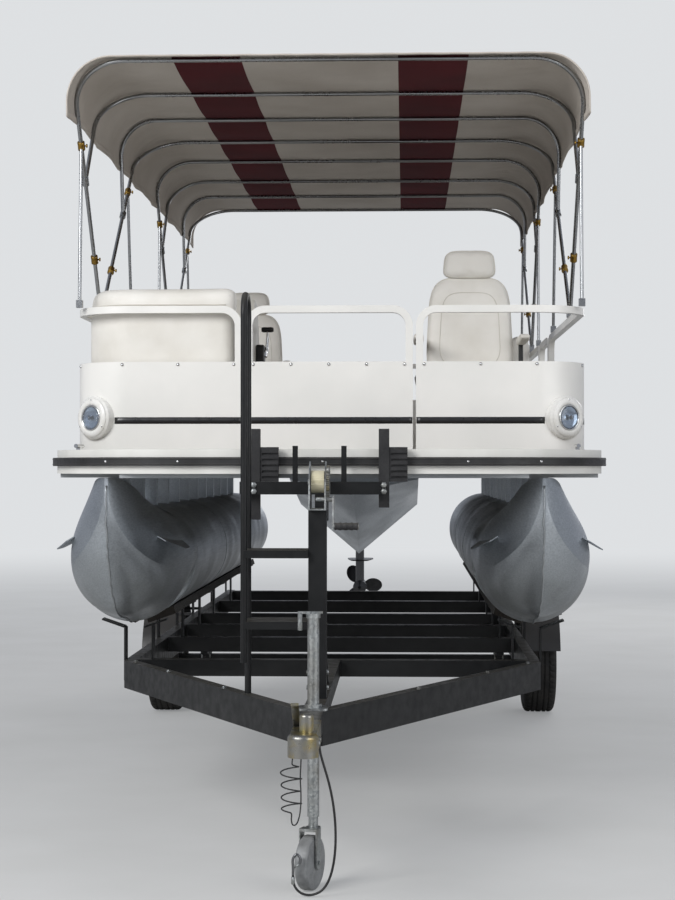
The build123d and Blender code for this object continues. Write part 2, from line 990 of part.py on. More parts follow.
def chair_parts(name, x, distance):
    """A high-back chair that faces the bow, turning on its pedestal."""
    y = aft(distance)
    half = chair_width / 2
    seat_z = deck_top_z + chair_seat_height
    hub_top = seat_z - chair_seat_thickness - soft_gap
    pedestal = Pos(0, 0, deck_top_z + pedestal_plate_thickness / 2) * Cylinder(
        pedestal_plate_radius, pedestal_plate_thickness
    )
    pedestal += Pos(0, 0, (deck_top_z + hub_top) / 2) * Cylinder(pedestal_radius, hub_top - deck_top_z)
    depth = chair_seat_depth / 2
    seat = block((-half, half), (-depth, depth), (seat_z - chair_seat_thickness, seat_z))
    seat = fillet(seat.edges().filter_by(Axis.Z), chair_seat_corner)
    back_top = seat_z + chair_back_height
    back = side_profile(
        [
            (depth - chair_back_thickness, seat_z - chair_back_front_drop),
            (depth, seat_z - chair_back_rear_drop),
            (depth + chair_back_lean, back_top),
            (depth + chair_back_lean - chair_back_thickness, back_top),
        ],
        -half,
        half,
    )
    back = fillet(back.edges().filter_by(Axis.Y, tolerance=40.0).sort_by(Axis.Z)[-2:], chair_back_corner)
    head = side_profile(
        [
            (depth + headrest_front_bottom, back_top - headrest_lap),
            (depth + headrest_rear_bottom, back_top - headrest_lap),
            (depth + headrest_rear_top, back_top + headrest_height),
            (depth + headrest_front_top, back_top + headrest_height),
        ],
        -headrest_width / 2,
        headrest_width / 2,
    )
    arm_x = (-half - arm_out, -half + arm_in)
    arms = block(arm_x, (-depth + arm_front_inset, depth), (seat_z + arm_bottom, seat_z + arm_top))
    arms += block(arm_x, (depth - arm_post_depth, depth), (seat_z - arm_post_drop, seat_z + arm_post_top))
    arms += mirror(arms, about=Plane.YZ)
    chair = seat + back + head + arms
    move = Pos(x, y, 0)
    return {name + "_pedestal": move * pedestal, name: move * chair}


def make_console():
    """The helm's shell, and the plane of its sloping dash that the wheel stands on."""
    half = console_width / 2
    front = aft(console_aft)
    rear = front + console_length
    top = deck_top_z + console_height
    dash_low = (rear, top - dash_low_drop)
    dash_high = (rear - dash_depth, top - dash_high_drop)
    shell = side_profile(
        [
            (front + console_toe, deck_top_z),
            (rear - console_heel, deck_top_z),
            dash_low,
            dash_high,
            (front + console_top_front, top),
            (front, top - console_front_drop),
        ],
        console_x - half,
        console_x + half,
    )
    middle_y, middle_z = (dash_low[0] + dash_high[0]) / 2, (dash_low[1] + dash_high[1]) / 2
    tilt = math.degrees(math.atan2(dash_high[1] - dash_low[1], dash_low[0] - dash_high[0]))
    wheel_plane = Pos(console_x, middle_y, middle_z) * Rot(-tilt, 0, 0)
    print("steering axis from", (console_x, middle_y, middle_z), "leaning", tilt)
    return shell, wheel_plane


def make_steering_wheel(place):
    """The rim, hub and three spokes, built flat and set on the sloping dash."""
    hub_top = wheel_stand_off + wheel_hub_above
    rim = Pos(0, 0, wheel_stand_off) * Torus(wheel_rim_radius, wheel_rim_tube)
    hub = Pos(0, 0, (hub_top + soft_gap) / 2) * Cylinder(wheel_hub_radius, hub_top - soft_gap)
    wheel = rim + hub
    spoke = Box(wheel_rim_radius, spoke_width, spoke_thickness)
    for turn in spoke_turns:
        wheel += Rot(0, 0, turn) * Pos(wheel_rim_radius / 2, 0, wheel_stand_off) * spoke
    return place * wheel


def make_stern_lounge():
    """A straight bench along the port fence: base, seat cushion and padded back."""
    outer = couch_outer
    seat_z = deck_top_z + couch_seat_height
    low_y = aft(lounge_aft)
    high_y = low_y + lounge_length
    inner = outer - couch_depth
    ys = (low_y, high_y - fence_radius)
    base = block((inner, outer), ys, (deck_top_z, seat_z))
    low = seat_z + soft_gap
    back_x = outer - couch_back_thickness
    seat = block((inner, back_x - lounge_seat_gap), ys, (low, low + cushion_thickness))
    back = block((back_x, outer), ys, (low, deck_top_z + couch_back_top))
    return {"stern_lounge_base": base, "stern_lounge_cushions": group(seat, back)}


fence_rail_top = deck_top_z + rail_top
bow_foot_x = fence_half - rail_size / 2


bow_x = bimini_half_width - bow_tube - canopy_thickness - soft_gap
crown_z = bimini_top_z - bow_tube - canopy_thickness - soft_gap
bow_bend = bimini_corner - bow_tube - canopy_thickness


def along(start, end, share):
    return tuple(a + share * (b - a) for a, b in zip(start, end))


def toward(start, end, distance):
    return along(start, end, distance / math.dist(start, end))


def bow_top(foot, top_y):
    """The crown of a bow with its two bent corners, and the point where its left leg ends."""
    corner = (-bow_x, top_y, crown_z)
    lean = math.dist(corner, foot) / (crown_z - foot[2])
    bend = bow_bend * lean
    shoulder = toward(corner, foot, bend + 2.0)
    other = (bow_x, shoulder[1], shoulder[2])
    points = [shoulder, corner, (bow_x, top_y, crown_z), other]
    return rod(points, bow_tube, [bend, bend]), shoulder


def collar(start, end, middle):
    """A clamp round a straight tube, centred on a point of it."""
    low = toward(middle, start, collar_length / 2)
    high = toward(middle, end, collar_length / 2)
    return rod([low, high], collar_radius)


def bimini_foot(y, side):
    """The bracket on the rail that a main leg stands in."""
    return block(
        (-bow_x - foot_width / 2, -bow_x + foot_width / 2),
        (y - foot_length / 2, y + foot_length / 2),
        (fence_rail_top, fence_rail_top + foot_height + foot_above),
    )


def bimini_half_set(start, side):
    """One main bow with its leg, slider, branch bow and strut; side is -1 at the front of a set."""
    foot_y = start + pivot_share * bimini_set_pitch + side * foot_spread
    foot = (-bow_x, foot_y, fence_rail_top + foot_height)
    main, branch, strut_foot = (0, 1, front_foot_share) if side < 0 else (3, 2, rear_foot_share)
    crown, shoulder = bow_top(foot, start + bow_shares[main] * bimini_set_pitch)
    slider = along(foot, shoulder, slider_share)
    fork = along(foot, shoulder, branch_share)
    branch_crown, branch_shoulder = bow_top(fork, start + bow_shares[branch] * bimini_set_pitch)
    strut_top = along(foot, shoulder, branch_share + (1 - branch_share) * strut_share)
    leg = rod([foot, shoulder], bow_tube) + bimini_foot(foot_y, side)
    leg += collar(foot, shoulder, slider)
    leg += collar(foot, shoulder, fork)
    leg += collar(foot, shoulder, strut_top)
    branch_start = toward(fork, branch_shoulder, collar_radius + moving_gap)
    branch_leg = rod([branch_start, branch_shoulder], bow_tube)
    # The branch's end fitting is a flat tongue between the clamp and the tube.
    tongue_start = toward(fork, branch_shoulder, collar_radius - bow_tube / 2)
    branch_leg += rod([tongue_start, branch_start], bow_tube * tongue_share)
    strut_y = start + strut_foot * bimini_set_pitch
    strut_low = (-bow_x, strut_y, fence_rail_top + foot_height / 2)
    strut = rod([strut_low, toward(strut_top, strut_low, collar_radius - strut_tube / 2)], strut_tube)
    strut += block(
        (-bow_x - foot_width / 2, -bow_x + foot_width / 2),
        (strut_y - foot_length / 2, strut_y + foot_length / 2),
        (fence_rail_top, fence_rail_top + foot_height),
    )
    return [crown, branch_crown], leg + branch_leg + strut


def make_bimini():
    """Two four-bow sets. In each, the first and last bows stand on the rail and carry the middle two."""
    tops, legs = [], []
    for number in range(bimini_set_count):
        start = aft(bimini_front_aft) + number * bimini_set_pitch
        for side in (-1, 1):
            crowns, leg = bimini_half_set(start, side)
            tops += crowns
            legs.append(leg)
    left = group(*legs)
    right = mirror(left, about=Plane.YZ)
    return {"bimini_bows": group(*tops), "bimini_legs": group(left, right)}


def make_canopy():
    """The fabric: one sheet over the bows that turns down at both sides."""
    low_y = aft(bimini_front_aft) - canopy_overhang
    last_set = (bimini_set_count - 1 + bow_shares[-1]) * bimini_set_pitch
    high_y = aft(bimini_front_aft) + last_set + canopy_overhang

    def arch(inset):
        right = bimini_half_width - inset
        top = bimini_top_z - inset
        line = FilletPolyline(
            (-right, low_y, canopy_edge_z),
            (-right, low_y, top),
            (right, low_y, top),
            (right, low_y, canopy_edge_z),
            radius=bimini_corner - inset,
        )
        closing = Line((right, low_y, canopy_edge_z), (-right, low_y, canopy_edge_z))
        return extrude(make_face([*line.edges(), closing]), amount=high_y - low_y, dir=(0, 1, 0))

    return arch(0.0) - arch(canopy_thickness)


def make_docking_lights():
    """Round lights set in the bends of the front corners, facing forward and out."""
    bend_x = fence_half - fence_radius
    bend_y = fence_front_y + fence_radius
    turn = math.radians(light_turn)
    x = bend_x + fence_radius * math.sin(turn)
    y = bend_y - fence_radius * math.cos(turn)
    length = light_in + light_out
    barrel = Pos(0, 0, (light_out - light_in) / 2) * Cylinder(light_radius, length)
    barrel = chamfer(barrel.edges().sort_by(Axis.Z)[-1], light_lip)
    light = Pos(x, y, light_z) * Rot(0, 0, light_turn) * Rot(90, 0, 0) * barrel
    across, along_y = fence_width + 2 * soft_gap, fence_rear_y - fence_front_y + 2 * soft_gap
    grown = RectangleRounded(across, along_y, fence_radius + soft_gap)
    light -= slab(Pos(0, (fence_front_y + fence_rear_y) / 2) * grown, fence_low, deck_top_z + rail_top)
    return both_sides(light)


def make_cleats():
    """A cleat at each corner of the deck: base, stem and horns."""
    cleats = []
    for x in (-cleat_x, cleat_x):
        for distance in (cleat_front_aft, deck_length - cleat_front_aft):
            y = aft(distance)
            cleat = block(
                (x - cleat_base_width / 2, x + cleat_base_width / 2),
                (y - cleat_base_length / 2, y + cleat_base_length / 2),
                (deck_top_z, deck_top_z + cleat_base_height),
            )
            cleat += block(
                (x - cleat_horn, x + cleat_horn),
                (y - cleat_stem_length / 2, y + cleat_stem_length / 2),
                (deck_top_z + cleat_base_height, deck_top_z + cleat_height),
            )
            horn_z = deck_top_z + cleat_height
            cleat += rod([(x, y - cleat_length / 2, horn_z), (x, y + cleat_length / 2, horn_z)], cleat_horn)
            cleats.append(cleat)
    return group(*cleats)


transom_y = aft(transom_aft)
tilt_y = transom_y + tilt_axis_back
steer_y = transom_y + steer_axis_back


def make_motor_pod():
    """A V-bottomed aluminium pod under the deck, with a splash well and the transom plate."""
    rear_y = transom_y - transom_thickness
    half = pod_width / 2

    def section(y, chine_z, keel_z):
        points = [
            (-half, y, member_bottom_z),
            (half, y, member_bottom_z),
            (half, y, chine_z),
            (0, y, keel_z),
            (-half, y, chine_z),
        ]
        return make_face(Polyline(*points, close=True))

    front = section(
        aft(pod_front_aft), member_bottom_z - pod_front_chine_drop, member_bottom_z - pod_front_keel_drop
    )
    rear = section(rear_y, pod_chine_z, pod_bottom_z)
    pod = loft([front, rear], ruled=True)
    well = motor_notch_width / 2 - well_side
    pod -= block(
        (-well, well),
        (aft(deck_length - motor_notch_length) - well_side, rear_y + well_side),
        (well_bottom_z, deck_top_z),
    )
    plate = cross_profile(
        [
            (-transom_plate_width / 2, transom_top_z),
            (transom_plate_width / 2, transom_top_z),
            (transom_plate_width / 2, transom_plate_side_z),
            (0.0, pod_bottom_z + transom_plate_rise),
            (-transom_plate_width / 2, transom_plate_side_z),
        ],
        rear_y,
        transom_y,
    )
    return pod + plate


def make_clamp():
    """The bracket that hooks over the transom, with an arm and the tilt tube's end on each side."""
    half = clamp_width / 2
    face_y = transom_y + clamp_plate
    clamp = block((-half, half), (transom_y, face_y), (clamp_bottom_z, transom_top_z))
    clamp += block((-half, half), (transom_y - transom_thickness, face_y), (transom_top_z, clamp_hook_top_z))
    arm = side_profile(
        [
            (face_y, clamp_arm_foot_z),
            (transom_y + clamp_arm_knee, clamp_arm_knee_z),
            (tilt_y + clamp_arm_back, tilt_axis_z - clamp_arm_below),
            (tilt_y + clamp_arm_back, tilt_axis_z + clamp_arm_above),
            (tilt_y - clamp_arm_front, tilt_axis_z + clamp_arm_peak),
            (face_y, clamp_hook_top_z),
        ],
        clamp_arm_inner,
        clamp_arm_outer,
    )
    clamp += arm
    clamp += mirror(arm, about=Plane.YZ)
    return clamp + tilt_tube(tilt_tube_radius, tilt_tube_length)


def tilt_tube(radius, length):
    return Pos(0, tilt_y, tilt_axis_z) * Rot(0, 90, 0) * Cylinder(radius, length)


def make_swivel():
    """The swivel bracket: steering barrel, web and the head that turns on the tilt tube."""
    head = swivel_head_width / 2
    web = swivel_web_width / 2
    head_bottom_z = tilt_axis_z - swivel_head_below
    swivel = Pos(0, steer_y, swivel_middle_z) * Cylinder(swivel_radius, swivel_length)
    swivel += block(
        (-head, head), (tilt_y - swivel_head_front, steer_y), (head_bottom_z, tilt_axis_z + swivel_head_above)
    )
    swivel += block((-web, web), (tilt_y - swivel_web_front, steer_y), (swivel_web_bottom_z, head_bottom_z))
    return swivel - tilt_tube(tilt_tube_radius + shaft_gap, tilt_tube_length)


def tapered_prism(ys, widths, rounds, low, high):
    """An upright prism whose plan is a four-sided shape with a front and a rear width."""
    front, rear = widths[0] / 2, widths[1] / 2
    return plan_prism(
        [(-front, ys[0]), (front, ys[0]), (rear, ys[1]), (-rear, ys[1])],
        [rounds[0], rounds[0], rounds[1], rounds[1]],
        low,
        high,
    )


def make_leg(face_y, torpedo_rear):
    """The leg with its yokes, the plate above the propeller, the gearcase and the skeg."""
    leg = Pos(0, steer_y, upper_yoke_z + soft_gap / 2) * Cylinder(
        upper_yoke_radius, upper_yoke_height - soft_gap
    )
    yoke_ys = (steer_y, face_y + yoke_reach)
    leg += block((-upper_yoke_radius, upper_yoke_radius), yoke_ys, upper_yoke_bar)
    leg += Pos(0, steer_y, lower_yoke_z) * Cylinder(swivel_radius, lower_yoke_height)
    leg += block(
        (-swivel_radius, swivel_radius),
        yoke_ys,
        (lower_yoke_z - lower_yoke_height / 2, lower_yoke_z + lower_yoke_height / 2),
    )
    leg += tapered_prism(
        (face_y, face_y + leg_length),
        (leg_front_width, leg_rear_width),
        (leg_front_round, leg_rear_round),
        leg_bottom_z,
        cowl_bottom_z,
    )
    leg += tapered_prism(
        (face_y - plate_front_reach, face_y + plate_rear_reach),
        (plate_front_width, plate_rear_width),
        (plate_front_round, plate_rear_round),
        plate_z,
        plate_z + plate_thickness,
    )
    shoulder, tail = strut_shoulder_width / 2, strut_tail_width / 2
    leg += plan_prism(
        [
            (0.0, face_y + strut_nose),
            (shoulder, face_y + strut_shoulder),
            (tail, face_y + strut_tail),
            (-tail, face_y + strut_tail),
            (-shoulder, face_y + strut_shoulder),
        ],
        [0.0, strut_shoulder_round, 0.0, 0.0, strut_shoulder_round],
        propeller_z,
        leg_bottom_z,
    )
    torpedo_front = face_y - torpedo_front_reach
    body_y = (torpedo_front + torpedo_nose + torpedo_rear) / 2
    leg += Pos(0, body_y, propeller_z) * Rot(90, 0, 0) * Cylinder(
        torpedo_radius, torpedo_rear - torpedo_front - torpedo_nose
    )
    leg += Pos(0, torpedo_front + torpedo_nose / 2, propeller_z) * Rot(-90, 0, 0) * Cone(
        torpedo_nose_radius, torpedo_radius, torpedo_nose
    )
    leg += side_profile(
        [
            (torpedo_front + skeg_front_inset, propeller_z),
            (torpedo_rear - skeg_rear_inset, propeller_z),
            (torpedo_rear, skeg_bottom_z + skeg_rise),
            (torpedo_rear - skeg_length, skeg_bottom_z),
        ],
        -skeg_thickness / 2,
        skeg_thickness / 2,
    )
    return leg


def make_propeller(place):
    """The hub and three pitched blades, bored for the shaft."""
    propeller = place * Cylinder(propeller_hub_radius, propeller_hub_length)
    outline = Ellipse(blade_width / 2, blade_length / 2)
    blade = Rot(90, 0, 0) * extrude(outline, amount=blade_thickness / 2, both=True)
    blade = fillet(blade.edges(), blade_thickness * blade_edge_share)
    blade = Pos(0, 0, propeller_radius - blade_length / 2) * Rot(0, 0, blade_pitch) * blade
    for turn in blade_turns:
        propeller += place * Rot(-90, 0, 0) * Rot(0, turn, 0) * blade
    return propeller - place * Cylinder(propeller_shaft_radius + shaft_gap, propeller_hub_length + cut_over)


def make_cowl():
    """The cowl's tray and its taller hood."""
    front = steer_y - cowl_front
    ys = (front, front + cowl_length)
    tray_width = cowl_width - 2 * cowl_tray_inset
    split_z = cowl_bottom_z + cowl_tray_height
    tray = tapered_prism(
        ys, (tray_width, tray_width), (cowl_tray_front_round, cowl_tray_rear_round), cowl_bottom_z, split_z
    )
    hood_rounds = (cowl_front_round, cowl_rear_round)
    hood = tapered_prism(ys, (cowl_width, cowl_width), hood_rounds, split_z, cowl_bottom_z + cowl_height)
    return tray + chamfer(hood.faces().sort_by(Axis.Z)[-1].edges(), cowl_top_chamfer)


def make_motor():
    """Clamp bracket, swivel bracket, leg with gearcase, cowl and propeller of the outboard."""
    face_y = steer_y + leg_face_back
    torpedo_rear = face_y + torpedo_rear_reach
    hub_y = torpedo_rear + soft_gap + propeller_hub_length / 2
    place = Pos(0, hub_y, propeller_z) * Rot(90, 0, 0)
    leg = make_leg(face_y, torpedo_rear)
    leg += place * Cylinder(propeller_shaft_radius, propeller_hub_length + propeller_shaft_extra)
    return {
        "motor_clamp": make_clamp(),
        "motor_swivel": make_swivel(),
        "motor_leg": leg,
        "motor_cowl": make_cowl(),
        "propeller": make_propeller(place),
    }


axle_y = aft(axle_aft)
axle_z = tyre_radius
arm_end_y = aft(arm_end_aft)
vertex_y = aft(arm_vertex_aft)
rail_x = frame_half_width - frame_flange / 2


jack_y = aft(jack_aft)


def make_a_frame():
    """Two arms that close in on the tongue, cut off square in front of the jack's hole."""
    run = arm_end_y - vertex_y
    across = frame_flange / math.cos(math.atan2(frame_half_width, run))
    front_y = aft(arm_front_aft)
    tip_x = (front_y - vertex_y) * frame_half_width / run
    arm = plan_prism(
        [
            (0.0, front_y),
            (tip_x, front_y),
            (frame_half_width, arm_end_y),
            (frame_half_width - across, arm_end_y),
            (0.0, vertex_y + across * run / frame_half_width),
        ],
        [0.0, 0.0, 0.0, 0.0, 0.0],
        frame_bottom_z,
        frame_top_z,
    )
    tongue = block(
        (-tongue_width / 2, tongue_width / 2),
        (aft(tongue_front_aft), aft(member_stations[0]) - member_width / 2),
        (frame_top_z - tongue_width, frame_top_z),
    )
    frame = arm + mirror(arm, about=Plane.YZ) + tongue
    return frame - Pos(0, jack_y, frame_top_z) * Cylinder(jack_tube_radius + jack_hole_gap, 4 * frame_depth)


def make_rails():
    rail = block(
        (frame_half_width - frame_flange, frame_half_width),
        (arm_end_y, aft(rail_end_aft)),
        (frame_bottom_z, frame_top_z),
    )
    return both_sides(rail)


def bunk_place(side, x_sign):
    """Plane of one bunk's top face: under the pontoon, square to its radius, clear of the keel."""
    radius = pontoon_radius + soft_gap
    half = bunk_width / 2
    inner_edge = keel_width / 2 + bunk_keel_gap
    angle = math.atan2(half, radius) + math.asin(inner_edge / math.hypot(radius, half))
    centre = x_sign * pontoon_spacing / 2
    return (
        centre + side * radius * math.sin(angle),
        pontoon_z - radius * math.cos(angle),
        -side * math.degrees(angle),
    )


def make_bunks():
    length = aft(bunk_rear_aft) - aft(bunk_front_aft)
    planks = []
    for x_sign in (-1, 1):
        for side in (-1, 1):
            x, z, tilt = bunk_place(side, x_sign)
            plank = Pos(0, 0, -bunk_thickness / 2) * Box(bunk_width, length, bunk_thickness)
            planks.append(Pos(x, aft(bunk_front_aft) + length / 2, z) * Rot(0, tilt, 0) * plank)
    return group(*planks)


def make_members():
    """Cross-members between the rails."""
    inner = frame_half_width - frame_flange
    members = []
    for distance in member_stations:
        y = aft(distance)
        ys = (y - member_width / 2, y + member_width / 2)
        members.append(block((-inner, inner), ys, (frame_top_z - member_width, frame_top_z)))
    return group(*members)


def bunk_bracket(x, z, tilt, y, post_x, low_z):
    """An upright with a sloping seat that the plank lies on, wide enough to reach its upright."""
    lean = math.radians(tilt)
    drop = bunk_thickness + bracket_plate / 2
    seat_x = x - drop * math.sin(lean)
    reach = (abs(seat_x - post_x) - bracket_plate / 2 + bracket_seat_lap) / math.cos(lean)
    seat_width = max(bunk_width * bracket_seat_share, 2 * reach)
    seat = Pos(x, y, z) * Rot(0, tilt, 0) * Pos(0, 0, -drop) * Box(seat_width, bracket_length, bracket_plate)
    top_z = z - (post_x - x) * math.tan(lean) - drop / math.cos(lean)
    post = block(
        (post_x - bracket_plate / 2, post_x + bracket_plate / 2),
        (y - bracket_length / 2, y + bracket_length / 2),
        (low_z, top_z),
    )
    return seat + post


def make_brackets():
    """Straps on the outside of the rails and posts on the cross-members, which carry the planks."""
    brackets = []
    for distance in member_stations:
        y = aft(distance)
        for x_sign in (-1, 1):
            x, z, tilt = bunk_place(x_sign, x_sign)
            post_x = x_sign * (frame_half_width + bracket_plate / 2)
            brackets.append(bunk_bracket(x, z, tilt, y, post_x, frame_bottom_z + bracket_strap_rise))
            x, z, tilt = bunk_place(-x_sign, x_sign)
            brackets.append(bunk_bracket(x, z, tilt, y, x, frame_top_z))
    return group(*brackets)


def make_axle():
    """A square axle with a round stub at each end, and the leaf springs it hangs on."""
    half = tyre_centre_x - stub_inset
    thick = axle_size / 2
    axle = block((-half, half), (axle_y - thick, axle_y + thick), (axle_z - thick, axle_z + thick))
    leaf_z = axle_z + thick
    pad = spring_pad_length / 2
    springs = []
    for side in (-1, 1):
        axle += Pos(side * half, axle_y, axle_z) * Rot(0, 90, 0) * Cylinder(stub_radius, stub_length)
        x = side * spring_x
        low, high = x - spring_width / 2, x + spring_width / 2
        spring = block((low, high), (axle_y - pad, axle_y + pad), (leaf_z, leaf_z + spring_pad_height))
        for number in range(leaf_count):
            reach = spring_length / 2 - leaf_step * number
            rise = leaf_rise * (reach / (spring_length / 2)) ** 2
            base = leaf_z + leaf_thickness * (leaf_count - 1 - number)
            knee, knee_z = reach * leaf_knee, base + rise * leaf_knee**2
            under = [
                (axle_y - reach, base + rise),
                (axle_y - knee, knee_z),
                (axle_y + knee, knee_z),
                (axle_y + reach, base + rise),
            ]
            over = [(y, z + leaf_thickness) for y, z in reversed(under)]
            spring += side_profile(under + over, low, high)
        for end in (-1, 1):
            y = axle_y + end * (spring_length / 2 - hanger_inset)
            spring += block(
                (low, high),
                (y - hanger_length / 2, y + hanger_length / 2),
                (leaf_z + hanger_above_axle, frame_bottom_z),
            )
        springs.append(spring)
    return {"trailer_axle": axle, "trailer_springs": group(*springs)}


def make_wheel(side):
    """Tyre and rim of one road wheel, on the end of the axle."""
    place = Pos(side * tyre_centre_x, axle_y, axle_z) * Rot(0, 90, 0)
    half = tyre_width / 2
    bead = half * bead_share
    tread = half * tread_share
    section = make_face(
        FilletPolyline(
            (rim_radius, 0, -bead),
            (tyre_radius - sidewall_height, 0, -half),
            (tyre_radius, 0, -tread),
            (tyre_radius, 0, tread),
            (tyre_radius - sidewall_height, 0, half),
            (rim_radius, 0, bead),
            radius=[0.0, sidewall_round, shoulder_round, shoulder_round, sidewall_round, 0.0],
            close=True,
        )
    )
    tyre = revolve(section, Axis.Z)
    disc = Pos(0, 0, side * rim_disc_out)
    rim = Cylinder(rim_radius, 2 * bead) - Cylinder(rim_radius - rim_wall, 2 * bead + cut_over)
    rim += disc * Cylinder(rim_radius - rim_wall + rim_disc_lap, rim_disc_thickness)
    rim += disc * Cylinder(rim_hub_radius, rim_hub_length)
    bore = Cylinder(stub_radius + stub_gap, rim_bore_length)
    rim -= Pos(0, 0, side * (rim_bore_end - rim_bore_length / 2)) * bore
    for number in range(rim_hole_count):
        turn = 360.0 / rim_hole_count * number
        hole = Pos(rim_hole_circle, 0, 0) * Cylinder(rim_hole_radius, rim_disc_thickness + cut_over)
        rim -= disc * Rot(0, 0, turn) * hole
    return place * tyre, place * rim


def make_fenders():
    """Arched guards over the tyres, each on two brackets from the rail."""
    inner = tyre_radius + fender_gap
    outer = inner + fender_thickness
    low_x = tyre_centre_x - fender_width / 2
    high_x = tyre_centre_x + fender_width / 2
    arch = Pos((low_x + high_x) / 2, axle_y, axle_z) * Rot(0, 90, 0) * (
        Cylinder(outer, fender_width) - Cylinder(inner, fender_width + cut_over)
    )
    arch &= block(
        (low_x - cut_over, high_x + cut_over),
        (axle_y - 2 * outer, axle_y + 2 * outer),
        (axle_z + fender_edge_above_axle, axle_z + 2 * outer),
    )
    z = frame_top_z - fender_bracket_drop
    half = fender_bracket_width / 2
    for end in (-1, 1):
        y = axle_y + end * math.sqrt(inner**2 - (z - axle_z) ** 2)
        arch += block(
            (frame_half_width, low_x + fender_bracket_lap),
            (y - half, y + half),
            (z - fender_bracket_below, z + fender_bracket_above),
        )
    return both_sides(arch)


def make_tail_lights():
    y = aft(rail_end_aft)
    lamp = block(
        (frame_half_width - tail_light_width, frame_half_width),
        (y, y + tail_light_depth),
        (frame_bottom_z + tail_light_inset, frame_top_z - tail_light_inset),
    )
    return both_sides(lamp)


post_y = aft(post_aft)
stop_rear_y = deck_front_y - edge_wall - rub_rail_depth - soft_gap
bar_rear_y = stop_rear_y - stop_board


def make_winch_stand():
    """Post with its brace, the arm on top, and the bar across the bow with two ears."""
    half = post_size / 2
    arm_half = half - post_inset
    stand = block((-half, half), (post_y - half, post_y + half), (frame_top_z, post_top_z))
    arm_ys = (post_y - half, bar_rear_y - post_arm / 2)
    stand += block((-arm_half, arm_half), arm_ys, (post_top_z - post_arm, post_top_z))
    bar_front_y = bar_rear_y - bow_bar_depth
    stand += block(
        (stop_table[0][0] - bow_bar_overhang, stop_table[1][0]),
        (bar_front_y, bar_rear_y),
        (bow_bar_z, bow_bar_z + bow_bar_height),
    )
    bar_zs = (post_top_z - post_arm, bow_bar_z + post_inset)
    stand += block((-arm_half, arm_half), (bar_front_y, bar_rear_y), bar_zs)
    for x in bow_ear_x:
        stand += block(
            (x - bow_ear_width / 2, x + bow_ear_width / 2),
            (bar_rear_y - bow_ear_thickness, bar_rear_y),
            (bow_bar_z, bow_ear_top_z),
        )
    brace_x = brace_width / 2
    stand += side_profile(
        [
            (post_y, brace_top_z),
            (post_y, brace_top_z - brace_depth),
            (post_y + brace_reach - brace_depth, frame_top_z),
            (post_y + brace_reach, frame_top_z),
        ],
        -brace_x,
        brace_x,
    )
    return stand


def make_bow_stops():
    """Upright boards against the rub rail, each with a ribbed rubber block on its port side."""
    stops = []
    for x, low, high in stop_table:
        face = x + stop_board / 2
        board = block((x - stop_board / 2, face), (bar_rear_y, stop_rear_y), (low, high))
        front = bar_rear_y + rubber_inset
        rubber = block((face, face + rubber_width), (front, stop_rear_y), (rubber_bottom_z, rubber_top_z))
        count = int((rubber_top_z - rubber_bottom_z) / rubber_rib_pitch)
        for number in range(count):
            z = rubber_bottom_z + rubber_rib_pitch * (number + 0.5)
            rubber -= block(
                (face + rubber_rib_depth, face + rubber_width),
                (front, front + rubber_rib_depth),
                (z, z + rubber_rib),
            )
        stops.append(board + rubber)
    return group(*stops)


def make_winch():
    """Two side plates, the drum's shaft, a gear and the crank."""
    y = post_y + winch_y
    low = post_top_z
    ends = (y - winch_front, y + winch_rear)
    winch = block((-winch_half, winch_half), ends, (low, low + winch_plate))
    cheek = [(ends[0], low), (ends[1], low)] + [(y + back, low + up) for back, up in winch_cheek]
    for x in (-winch_half, winch_half - winch_plate):
        winch += side_profile(cheek, x, x + winch_plate)
    drum_y, drum_z = y + drum_back, low + drum_height
    drum = Pos(0, drum_y, drum_z) * Rot(0, 90, 0)
    winch += Pos(drum_gear_x, 0, 0) * drum * Cylinder(drum_gear_radius, drum_gear_thickness)
    winch += drum * Cylinder(drum_shaft_radius, drum_shaft_length)
    shaft_y, shaft_z = y - crank_shaft_front, low + crank_shaft_height
    winch += Pos(crank_x - crank_shaft_inset, shaft_y, shaft_z) * Rot(0, 90, 0) * Cylinder(
        crank_shaft_radius, crank_shaft_length
    )
    grip_y, grip_z = shaft_y - crank_lean, shaft_z - crank_length
    half = crank_width / 2
    winch += side_profile(
        [
            (shaft_y - half, shaft_z + half),
            (shaft_y + half, shaft_z + half),
            (grip_y + half, grip_z - half),
            (grip_y - half, grip_z - half),
        ],
        crank_x,
        crank_x + crank_thickness,
    )
    grip_x = crank_x + crank_thickness
    grip = Rot(0, 90, 0) * Cylinder(grip_radius, grip_length)
    return winch + Pos(grip_x + grip_length / 2, grip_y, grip_z) * grip


def make_winch_strap():
    """Webbing wound on the drum, and its straight run to the bow eye."""
    y = post_y + winch_y + drum_back
    z = post_top_z + drum_height
    hole = Cylinder(drum_shaft_radius + soft_gap, strap_width + cut_over)
    reel = Pos(0, y, z) * Rot(0, 90, 0) * (Cylinder(strap_reel_radius, strap_width) - hole)
    end_y = aft(eye_aft) - soft_gap
    run = side_profile(
        [
            (y, z + strap_leave_height),
            (y, z + strap_leave_height - strap_thickness),
            (end_y, strap_end_z),
            (end_y, strap_end_z + strap_thickness),
        ],
        -strap_run_width / 2,
        strap_run_width / 2,
    )
    return reel + run


